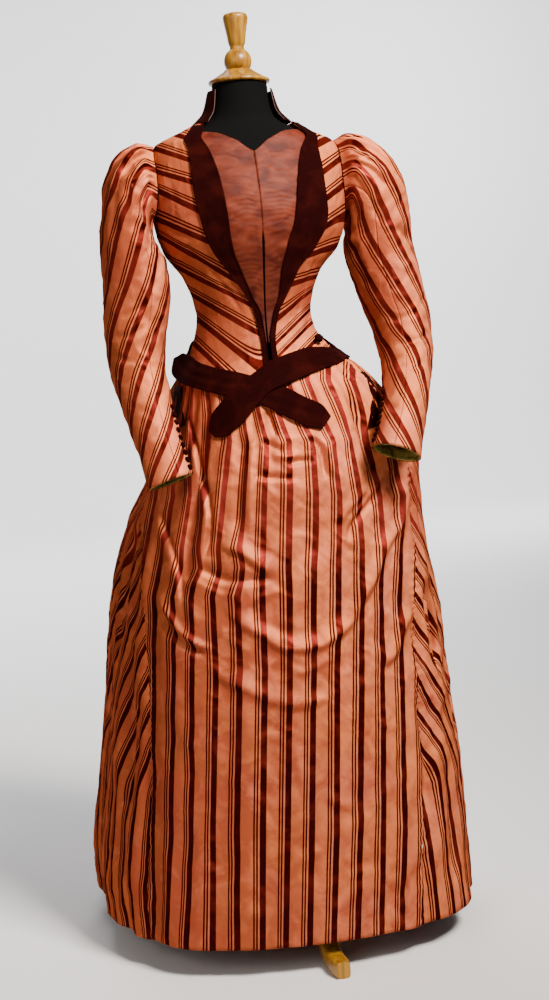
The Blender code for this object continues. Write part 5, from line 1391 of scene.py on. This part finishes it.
# %% Sleeve surface
SLEEVE_COLUMNS = ("x", "y", "z", "side_tilt", "front_tilt", "half_out", "half_depth")
SLEEVE_RIGHT = [
    SLEEVE_COLUMNS,
    (0.1600, 0.000, 1.2910, 0.0, 0.0, 0.0660, 0.054),
    (0.1780, 0.000, 1.2950, 5.3, 0.0, 0.0745, 0.060),
    (0.1980, 0.000, 1.2880, 17.2, 0.0, 0.0795, 0.066),
    (0.2180, 0.000, 1.2680, 32.3, 0.0, 0.0790, 0.069),
    (0.2300, 0.000, 1.2380, 46.8, 0.0, 0.0750, 0.069),
    (0.2330, -0.001, 1.2025, 64.9, 0.0, 0.0670, 0.067),
    (0.2350, -0.004, 1.1580, 80.0, 2.0, 0.0620, 0.065),
    (0.2430, -0.010, 1.1140, 78.0, 6.0, 0.0595, 0.063),
    (0.2520, -0.018, 1.0680, 79.0, 10.0, 0.0560, 0.060),
    (0.2600, -0.028, 1.0240, 84.0, 16.0, 0.0520, 0.057),
    (0.2600, -0.047, 0.9790, 92.0, 26.0, 0.0475, 0.053),
    (0.2440, -0.092, 0.9330, 99.0, 38.0, 0.0430, 0.044),
    (0.2220, -0.143, 0.8860, 105.0, 38.0, 0.0400, 0.036),
    (0.2020, -0.177, 0.8455, 109.0, 33.0, 0.0400, 0.030),
    (0.1850, -0.202, 0.8110, 110.0, 26.0, 0.0435, 0.026),
]
SLEEVE_LEFT = [
    SLEEVE_COLUMNS,
    (0.1600, 0.000, 1.2910, 0.0, 0.0, 0.0660, 0.054),
    (0.1750, 0.000, 1.2930, 5.3, 0.0, 0.0720, 0.060),
    (0.1890, 0.000, 1.2835, 14.5, 0.0, 0.0760, 0.066),
    (0.2020, 0.000, 1.2640, 26.4, 0.0, 0.0745, 0.069),
    (0.2080, -0.001, 1.2370, 39.5, 0.0, 0.0690, 0.069),
    (0.2080, -0.003, 1.2020, 59.0, 0.0, 0.0595, 0.067),
    (0.2060, -0.006, 1.1600, 82.0, 2.0, 0.0575, 0.065),
    (0.2035, -0.010, 1.1150, 86.0, 5.0, 0.0580, 0.062),
    (0.2090, -0.016, 1.0680, 82.0, 8.0, 0.0560, 0.059),
    (0.2140, -0.024, 1.0200, 86.0, 12.0, 0.0520, 0.056),
    (0.2140, -0.036, 0.9740, 90.0, 18.0, 0.0475, 0.051),
    (0.2080, -0.058, 0.9280, 98.0, 22.0, 0.0440, 0.045),
    (0.2010, -0.087, 0.8790, 104.0, 22.0, 0.0410, 0.038),
    (0.1930, -0.117, 0.8320, 105.0, 20.0, 0.0390, 0.032),
    (0.1865, -0.147, 0.7865, 106.0, 15.0, 0.0400, 0.029),
]
SLEEVES = (("left", -1.0, SLEEVE_LEFT), ("right", 1.0, SLEEVE_RIGHT))
LAST_RING = 14.0
RING_SPACING = 0.05
RING_STEPS = (1.0, 0.02)       # degrees and rings between the points that give a normal
SLEEVE_SEAM_ANGLE = 108.0
SLEEVE_RADIUS = 0.05
SLEEVE_GATHERS = 5
SLEEVE_GATHER_SPAN = 160.0
SLEEVE_GATHER_DEPTH = [
    ("step", "depth"), (0.0, 0.0), (1.0, 0.0035), (2.0, 0.0060), (3.0, 0.0050), (5.0, 0.0020), (7.0, 0.0),
]


def sleeve_ring(table, step, angle):
    """Centre and spoke of a sleeve's ring at a fractional number; angle 0 is outward or up, 90 the front."""
    x, y, z, side_tilt, front_tilt, half_out, half_depth = (by_row(table, name, step) for name in table[0])
    side_tilt, front_tilt, turn = np.radians(side_tilt), np.radians(front_tilt), np.radians(angle)
    out = np.stack([np.sin(side_tilt), np.zeros_like(side_tilt), np.cos(side_tilt)], axis=-1)
    down_turned = np.stack([-np.cos(side_tilt), np.zeros_like(side_tilt), np.sin(side_tilt)], axis=-1)
    forward = np.array([0.0, -1.0, 0.0])
    ahead = forward * np.cos(front_tilt)[..., None] + down_turned * np.sin(front_tilt)[..., None]
    spoke = out * (half_out * np.cos(turn))[..., None] + ahead * (half_depth * np.sin(turn))[..., None]
    return np.stack([x, y, z], axis=-1), spoke


def armhole(angle, sign):
    """Edge of one side's armhole, just proud of its cloth, at a ring angle, measured from the form's axis."""
    turn = np.radians(angle)
    z = ARMHOLE_Z + ARMHOLE_HALF_HEIGHT * np.cos(turn)
    body_angle = sign * (90.0 - armhole_reach(np.sin(turn) > 0.0) * np.sin(turn))
    normal = outward(body, body_angle, z, *BODY_STEPS)
    return (body(body_angle, z) + normal * SHOULDER_LIFT - FORM_AXIS) * np.array([sign, 1.0, 1.0])


def sleeve_surface(table, sign):
    """A sleeve, brought to +X, by ring angle and ring number, with its start fitted to the armhole."""
    def surface(angle, step):
        angle, step = np.broadcast_arrays(np.asarray(angle, float), np.asarray(step, float))
        centre, spoke = sleeve_ring(table, step, angle)
        length = np.linalg.norm(spoke, axis=-1)
        turned = signed(angle)
        wave = 0.5 - 0.5 * np.cos(2.0 * math.pi * SLEEVE_GATHERS * turned / SLEEVE_GATHER_SPAN)
        near_top = 1.0 - smooth_step(np.abs(turned), 60.0, 88.0)
        depth = read(SLEEVE_GATHER_DEPTH, "step", "depth", step) * wave * near_top
        point = centre + spoke * (1.0 - depth / length)[..., None]
        start_centre, start_spoke = sleeve_ring(table, np.zeros_like(step), angle)
        fit = armhole(angle, sign) - start_centre - start_spoke
        return point + fit * (1.0 - smooth_step(step, 0.0, 1.6))[..., None]
    return surface


def on_side(points, sign):
    """Points moved to the form's axis, with x turned over for the left side."""
    return points * np.array([sign, 1.0, 1.0]) + FORM_AXIS


print("cuff ring:", [round(float(v), 3) for v in SLEEVE_RIGHT[-1][:3]], "to the right of the axis")

# %% Sleeve pieces and cuffs
SLEEVE_REPEAT = 0.0436
# What is added to the stripe number at each ring, so that the stripes wind down the arm
SLEEVE_STRIPES = [
    ("step", "left", "right"), (0.0, 0.30, -0.15), (1.2, 0.17, 0.10), (2.4, -0.08, 0.60), (3.5, -0.20, 0.80),
    (4.8, 0.40, 0.38), (6.1, 0.98, -0.25), (7.3, 1.54, -0.72), (8.5, 2.10, -1.20), (9.7, 2.80, -1.72),
    (10.9, 3.70, -2.60), (12.0, 4.72, -3.50), (13.0, 5.75, -4.40), (14.0, 6.75, -5.20),
]
FACING_DEPTH = 0.55            # how far the facing runs into the cuff, in rings
FACING_GAP = 0.0009
FACING_WAVES = (0.0007, 24.0)  # depth, and how many all round
# base of the satin's painted highlight on the sleeves
SLEEVE_PAINTED_SHINE = 0.27
SLEEVE_CRINKLE = (0.060, 0.0008, 11)   # size, depth and seed
# Creases of the sleeves, in the same terms as the skirt's
SLEEVE_CREASES = [
    ("left head 1", 3.5, 3.5, -4.5, (152, 150), (136, 158), (120, 178)),
    ("left head 2", 3.5, 3.5, -4.5, (154, 162), (136, 178), (118, 208)),
    ("left head 3", 4.0, 4.0, -3.6, (157, 178), (144, 200), (130, 238)),
    ("left head 4", 4.0, 4.0, -3.1, (160, 198), (152, 228), (148, 264)),
    ("left underarm", 4.0, 4.0, -4.2, (166, 232), (160, 262), (152, 300)),
    ("left elbow 1", 3.5, 3.0, -3.0, (118, 318), (134, 312), (150, 300)),
    ("left elbow 2", 3.5, 3.0, -3.0, (110, 338), (128, 336), (148, 324)),
    ("left elbow 3", 3.5, 3.0, -2.7, (108, 352), (124, 360), (140, 362)),
    ("left forearm 1", 3.5, 3.0, -1.4, (138, 442), (156, 436), (172, 434)),
    ("left forearm 2", 3.5, 3.0, -1.4, (126, 402), (138, 410), (152, 413)),
    ("right head 1", 3.5, 3.5, -4.5, (344, 148), (358, 150), (374, 162)),
    ("right head 2", 3.5, 3.5, -4.5, (345, 158), (368, 168), (392, 190)),
    ("right head 3", 4.0, 4.0, -3.6, (348, 172), (366, 194), (384, 228)),
    ("right head 4", 4.0, 4.0, -3.4, (351, 194), (360, 222), (372, 256)),
    ("right dimple", 3.5, 3.0, -3.9, (396, 226), (404, 234), (412, 245)),
    ("right underarm", 4.0, 4.0, -4.2, (352, 238), (358, 262), (368, 292)),
    ("right elbow 1", 3.5, 3.0, -2.7, (386, 320), (402, 318), (420, 309)),
    ("right elbow 2", 3.5, 3.0, -3.3, (394, 346), (412, 342), (432, 331)),
    ("right elbow 3", 3.5, 3.0, -2.7, (396, 366), (412, 368), (430, 360)),
    ("right forearm", 3.5, 3.0, -1.4, (386, 402), (398, 410), (412, 413)),
]
# Fine gathers fanning from the top of the armhole: how many all round, and their depth
HEAD_PLEATS = 30
HEAD_PLEAT_DEPTH = 0.0022


def head_pleats(angles, steps):
    """Depth of the fine gathers: sin^2 round the arm, uneven, fading outwards and under the arm."""
    turn = np.radians(angles + 6.0 * np.sin(np.radians(angles) * 5.0))
    wave = np.sin(0.5 * HEAD_PLEATS * turn) ** 2
    upper = 1.0 - smooth_step(np.abs(signed(angles)), 80.0, 125.0)
    near_head = smooth_step(steps, 0.1, 0.7) * (1.0 - smooth_step(steps, 1.6, 4.2))
    return -HEAD_PLEAT_DEPTH * wave * upper * near_head


def columns_for(sign, grid):
    """The grid with its columns in turned order on the left side, so that the outside faces out."""
    return grid[:, ::-1] if sign < 0 else grid


def sleeve_points(table, sign, angles, steps, inset):
    """Grid on the sleeve, inset below its surface."""
    surface = sleeve_surface(table, sign)
    normal = outward(surface, angles, steps, *RING_STEPS)
    return columns_for(sign, on_side(surface(angles, steps) - normal * inset, sign))


def sleeve_stripes(table, side, angles, steps):
    """Stripe number: radius * angle over the repeat, turned over on the right, plus the table's shift."""
    radius = 0.5 * (by_row(table, "half_out", steps) + by_row(table, "half_depth", steps))
    number = radius * np.radians(angles) / SLEEVE_REPEAT
    return (number if side == "left" else -number) + read(SLEEVE_STRIPES, "step", side, steps)


seam_gap = math.degrees(0.5 * SEAM_GAP / SLEEVE_RADIUS)
for side, sign, table in SLEEVES:
    for part, first, last, cells in (("top", -SLEEVE_SEAM_ANGLE, SLEEVE_SEAM_ANGLE, 120),
                                     ("under", SLEEVE_SEAM_ANGLE, 360.0 - SLEEVE_SEAM_ANGLE, 36)):
        name = "sleeve_%s_%s" % (part, side)
        around = np.linspace(first + seam_gap, last - seam_gap, cells + 1)[None, :]
        angles, steps = np.broadcast_arrays(around, np.linspace(0.0, LAST_RING, 150)[:, None])
        smooth = sleeve_points(table, sign, angles, steps, 0.0)
        number = sleeve_stripes(table, side, angles, steps)
        cloth = columns_for(sign, np.stack([number, RING_SPACING * steps], axis=-1))
        normal = grid_normals(smooth)
        fade = smooth_step(steps, 0.2, 1.2) * smooth_step(LAST_RING - steps, FACING_DEPTH, FACING_DEPTH + 1.0)
        creases = crease_push(smooth, normal, SLEEVE_CREASES) + crinkle(smooth, *SLEEVE_CRINKLE)
        push = creases * columns_for(sign, fade) + columns_for(sign, head_pleats(angles, steps))
        points = smooth + normal * push[..., None]
        sheet_piece(name, points, smooth, striped_silk, "striped_silk", CLOTH,
                    cloth, SLEEVE_PAINTED_SHINE)
    turn = np.linspace(0.0, 360.0, 97)[:-1][None, :]
    angles, steps = np.broadcast_arrays(turn, np.linspace(LAST_RING - FACING_DEPTH, LAST_RING, 10)[:, None])
    smooth = sleeve_points(table, sign, angles, steps, CLOTH + FACING_GAP)
    waves = FACING_WAVES[0] * np.sin(np.radians(turn) * FACING_WAVES[1])
    points = smooth + grid_normals(smooth) * waves[..., None]
    sheet_piece("cuff_facing_" + side, points, smooth, cuff_silk, "olive_silk", CLOTH,
                closed=True)

# %% Cuff buttons
BUTTON_RADIUS = 0.0052
BUTTON_HEIGHT = 0.0042
BUTTON_COUNT = 9
BUTTON_FIRST_STEP = 11.72
BUTTON_SPACING = 0.26
BUTTON_ANGLE = {"left": 150.0, "right": 172.0}
BUTTON_LIFT = {"left": 0.0008, "right": 0.0009}


def button_points(where, normal, side_way, up_way):
    """A dome: a flat base and a quarter of an ellipse spun round the button's axis."""
    polar = np.linspace(0.0, 0.5 * math.pi, 9)
    radius = np.concatenate([[0.0], BUTTON_RADIUS * np.sin(polar[::-1])])
    height = np.concatenate([[0.0], BUTTON_HEIGHT * np.cos(polar[::-1])])
    turn = np.linspace(0.0, 2.0 * math.pi, 24, endpoint=False)
    ring = np.cos(turn)[:, None] * side_way + np.sin(turn)[:, None] * up_way
    return where + radius[:, None, None] * ring[None] + height[:, None, None] * normal


for side, sign, table in SLEEVES:
    for number in range(BUTTON_COUNT):
        step = BUTTON_FIRST_STEP + BUTTON_SPACING * number
        where, normal, side_way, up_way = frame_on(sleeve_surface(table, sign), BUTTON_ANGLE[side], step,
                                                   *RING_STEPS)
        flip = np.array([sign, 1.0, 1.0])
        points = button_points(on_side(where, sign) + normal * flip * BUTTON_LIFT[side], normal * flip,
                               side_way * flip, up_way * flip)
        points = points[:, ::-1] if sign > 0 else points
        name = "cuff_button_%s_%d" % (side, number + 1)
        add_piece(name + "_velvet", grid_mesh(name + "_velvet", points, closed=True), velvet, name)
print("buttons:", 2 * BUTTON_COUNT)

# %% [markdown]
# ## Dress form and stand
#
# The form is papier-mache under black jersey, and shows only at the neck. The neck cap and the
# finial are turned on a lathe, so a profile spun round the axis makes them, and each leg is a bar
# of one rounded section along a curve.

# %% Form
FORM_TOP_Z = 1.462
FORM_BOTTOM_Z = 0.780
FORM_CLEARANCE = 0.0030        # between the form and the inside of the bodice
FORM_HIPS = [
    ("z", "half", "deep"), (FORM_BOTTOM_Z, 0.146, 0.112), (0.800, 0.152, 0.118), (0.860, 0.150, 0.118),
    (0.920, 0.130, 0.107), (0.970, 0.107, 0.094), (1.014, 0.104, 0.092),
]
FORM_NECK = [
    ("z", "half", "deep"), (1.370, 0.116, 0.070), (1.388, 0.078, 0.060), (1.402, 0.060, 0.054),
    (1.430, 0.051, 0.050), (FORM_TOP_Z, 0.048, 0.048),
]


def oval(table, z, turn):
    """Rings of an upright oval, half and deep read from the table."""
    half, deep = read(table, "z", "half", z), read(table, "z", "deep", z)
    return np.stack([half * np.sin(turn), -deep * np.cos(turn), z + 0.0 * turn], axis=-1) + FORM_AXIS


turn = np.linspace(0.0, 2.0 * math.pi, 96, endpoint=False)[None, :]
hips = oval(FORM_HIPS, np.linspace(FORM_BOTTOM_Z, 0.985, 30)[:, None], turn)
chest_z = np.linspace(1.020, 1.372, 50)[:, None]
chest_angle, chest_z = np.broadcast_arrays(np.degrees(turn), chest_z)
inward = -outward(body, chest_angle, chest_z, *BODY_STEPS)
chest = body(chest_angle, chest_z) + inward * (CLOTH + FORM_CLEARANCE)
neck = oval(FORM_NECK, np.linspace(1.388, FORM_TOP_Z, 30)[:, None], turn)
form_mesh = grid_mesh("form_torso_jersey", np.concatenate([hips, chest, neck]), closed=True, caps=True)
add_piece("form_torso_jersey", form_mesh, jersey, "form_torso")
print("form:", len(form_mesh.vertices), "points")

# %% Turned wood
# Radius and height of points up each profile
NECK_CAP = [
    (0.0005, 1.4624), (0.0500, 1.4624), (0.0530, 1.4632), (0.0540, 1.4650), (0.0540, 1.4672),
    (0.0525, 1.4690), (0.0495, 1.4702), (0.0440, 1.4732), (0.0380, 1.4769), (0.0320, 1.4806),
    (0.0280, 1.4829), (0.0250, 1.4858), (0.0240, 1.4869), (0.0005, 1.4869),
]
BALL_RADIUS = 0.02425
BALL_Z = 1.502
BALL_LOW_Z = 1.4873
BALL_END_ANGLE = 58.0
AXIS_RADIUS = 0.0005           # where a profile meets the axis
FINIAL_KNOB = [
    (0.0125, 1.5265), (0.0125, 1.5285), (0.0138, 1.5310), (0.0146, 1.5330), (0.0166, 1.5460),
    (0.0188, 1.5590), (0.0207, 1.5690), (0.0218, 1.5755), (0.0219, 1.5790), (0.0211, 1.5822),
    (0.0190, 1.5847), (0.0150, 1.5862), (0.0080, 1.5869), (0.0005, 1.5870),
]


def lathe(name, profile, node):
    """Spins (radius, z) pairs round the form's axis into a closed turned piece."""
    profile = np.array(profile, float)
    turn = np.linspace(0.0, 2.0 * math.pi, 64, endpoint=False)
    ring = np.stack([np.sin(turn), -np.cos(turn), 0.0 * turn], axis=-1)
    points = profile[:, :1, None] * ring[None] + profile[:, 1, None, None] * UP + FORM_AXIS
    mesh = grid_mesh(name, points, closed=True, caps=True)
    mesh.set_sharp_from_angle(angle=math.radians(50.0))
    add_piece(name, mesh, wood, node)
    print(name, "to", round(float(profile[:, 1].max()), 3), "m")


lathe("neck_cap_wood", NECK_CAP, "neck_cap")
start = math.asin((BALL_LOW_Z - BALL_Z) / BALL_RADIUS)
ball = [(AXIS_RADIUS, BALL_LOW_Z)] + [(BALL_RADIUS * math.cos(a), BALL_Z + BALL_RADIUS * math.sin(a))
                                      for a in np.linspace(start, math.radians(BALL_END_ANGLE), 24)]
lathe("finial_wood", ball + FINIAL_KNOB, "finial")

# %% Legs, hub and pole
HUB_RADIUS = 0.038
HUB_Z = (0.215, 0.300)
LEG_REACH = 0.320
LEG_WIDTH = 0.030
LEG_DEPTH = 0.026
LEG_ANGLES = {"leg_front": -87.7, "leg_right": 30.0, "leg_left": 150.0}
LEG_LEVEL_SHARE = 0.88         # where along a leg its toe starts to lie flat


def leg_line(share):
    """Centre line of a leg: out of the hub level, down in a curve, then flat along the floor."""
    out = HUB_RADIUS - 0.0001 + (LEG_REACH - HUB_RADIUS) * share
    flat = 0.5 * LEG_DEPTH
    high = 0.5 * (HUB_Z[0] + HUB_Z[1])
    return out, flat + (high - flat) * (1.0 - smooth_step(share, 0.0, LEG_LEVEL_SHARE)) ** 1.15


def leg_points(angle):
    """The rounded section swept along the leg line, square to it, never under the floor."""
    share = np.linspace(0.0, 1.0, 70)[:, None]
    out, z = leg_line(share)
    ahead = leg_line(np.clip(share + 0.02, 0.0, 1.0))
    behind = leg_line(np.clip(share - 0.02, 0.0, 1.0))
    level = smooth_step(share, 0.0, 0.06) * (1.0 - smooth_step(share, 0.82, LEG_LEVEL_SHARE))
    slope = np.arctan2(ahead[1] - behind[1], ahead[0] - behind[0]) * level
    turn = np.linspace(0.0, 2.0 * math.pi, 32, endpoint=False)[None, :]
    round_power = 0.45
    side = 0.5 * LEG_WIDTH * np.sign(np.cos(turn)) * np.abs(np.cos(turn)) ** round_power
    up = 0.5 * LEG_DEPTH * np.sign(np.sin(turn)) * np.abs(np.sin(turn)) ** round_power
    side = side * (1.0 - 0.25 * smooth_step(share, 0.94, 1.0))
    distance = out - up * np.sin(slope)
    height = np.maximum(z + up * np.cos(slope), 0.0)
    x = distance * math.cos(angle) - side * math.sin(angle)
    y = distance * math.sin(angle) + side * math.cos(angle)
    return np.stack([x, y, height], axis=-1) + FORM_AXIS


for name, degrees in LEG_ANGLES.items():
    mesh = grid_mesh(name + "_wood", leg_points(math.radians(degrees)), closed=True, caps=True)
    mesh.set_sharp_from_angle(angle=math.radians(60.0))
    add_piece(name + "_wood", mesh, wood, name)

for name, material, slot_name in (("hub", wood, "varnished_wood"), ("pole", steel, "brushed_steel")):
    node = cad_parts[name]
    node.data.materials.clear()
    node.data.materials.append(material)
print("legs:", len(LEG_ANGLES))

# %% [markdown]
# ## Floor, backdrop and light
#
# A pale paper sweep that runs from the floor up behind the dress, far enough back that a view from
# behind still has room. The soft lights are a museum's picture studio: a key high in front on the
# right, a weaker fill on the left, two for the wall and one for the floor behind the dress.

# %% Studio
SWEEP_HALF_WIDTH = 6.0
SWEEP_FRONT = -6.0
SWEEP_BACK = 7.5
SWEEP_RADIUS = 1.5
SWEEP_TOP = 5.0
# Place, aim, size, power, colour and cone in degrees
LIGHTS = {
    "key_light": ((1.05, -2.2, 3.2), (0.0, -0.2, 1.35), 1.0, 62.0, "#FFF6EC", 72.0),
    "fill_light": ((-2.6, -2.8, 2.0), (0.0, 0.0, 1.1), 1.8, 44.0, "#FFF2E8", 180.0),
    "wall_light_left": ((-3.4, 5.6, 3.2), (-1.0, 9.0, 1.8), 2.5, 320.0, "#FFFFFF", 180.0),
    "wall_light_right": ((3.4, 5.6, 3.2), (1.0, 9.0, 1.8), 2.5, 320.0, "#FFFFFF", 180.0),
    "floor_light": ((0.0, 3.4, 4.6), (0.0, 3.6, 0.0), 2.2, 110.0, "#FFFFFF", 110.0),
}
WORLD_COLOUR = "#EDEEF0"
WORLD_STRENGTH = 0.17


def build_sweep():
    """Floor that curves up into a wall: a straight run, a quarter circle and a straight rise."""
    bend = np.linspace(0.0, 0.5 * math.pi, 24)
    y = np.concatenate([[SWEEP_FRONT], SWEEP_BACK + SWEEP_RADIUS * np.sin(bend), [SWEEP_BACK + SWEEP_RADIUS]])
    z = np.concatenate([[0.0], SWEEP_RADIUS * (1.0 - np.cos(bend)), [SWEEP_TOP]])
    x = np.array([[-SWEEP_HALF_WIDTH, SWEEP_HALF_WIDTH]])
    points = np.stack(np.broadcast_arrays(x, y[:, None], z[:, None]), axis=-1)
    sweep = bpy.data.objects.new("paper_sweep", grid_mesh("paper_sweep", points))
    paper, _, _ = new_material("matt_pale_paper", Roughness=0.9, Base_Color=linear_rgb("#EEEEEF"))
    sweep.data.materials.append(paper)
    bpy.context.scene.collection.objects.link(sweep)


def soft_light(name, place, aim, size, power, colour, spread):
    """A square area light at a place, turned to its aim; spread is its cone in degrees."""
    light = bpy.data.lights.new(name, "AREA")
    light.size = size
    light.energy = power
    light.spread = math.radians(spread)
    light.color = linear_rgb(colour)[:3]
    lamp = bpy.data.objects.new(name, light)
    lamp.location = place
    away = Vector(place) - Vector(aim)
    lamp.rotation_euler = away.to_track_quat("Z", "Y").to_euler()
    bpy.context.scene.collection.objects.link(lamp)


build_sweep()
for name, settings in LIGHTS.items():
    soft_light(name, *settings)
world = bpy.data.worlds.new("pale_studio")
world.use_nodes = True
background = world.node_tree.nodes["Background"]
background.inputs["Color"].default_value = linear_rgb(WORLD_COLOUR)
background.inputs["Strength"].default_value = WORLD_STRENGTH
bpy.context.scene.world = world
print("lights:", len(bpy.data.lights))
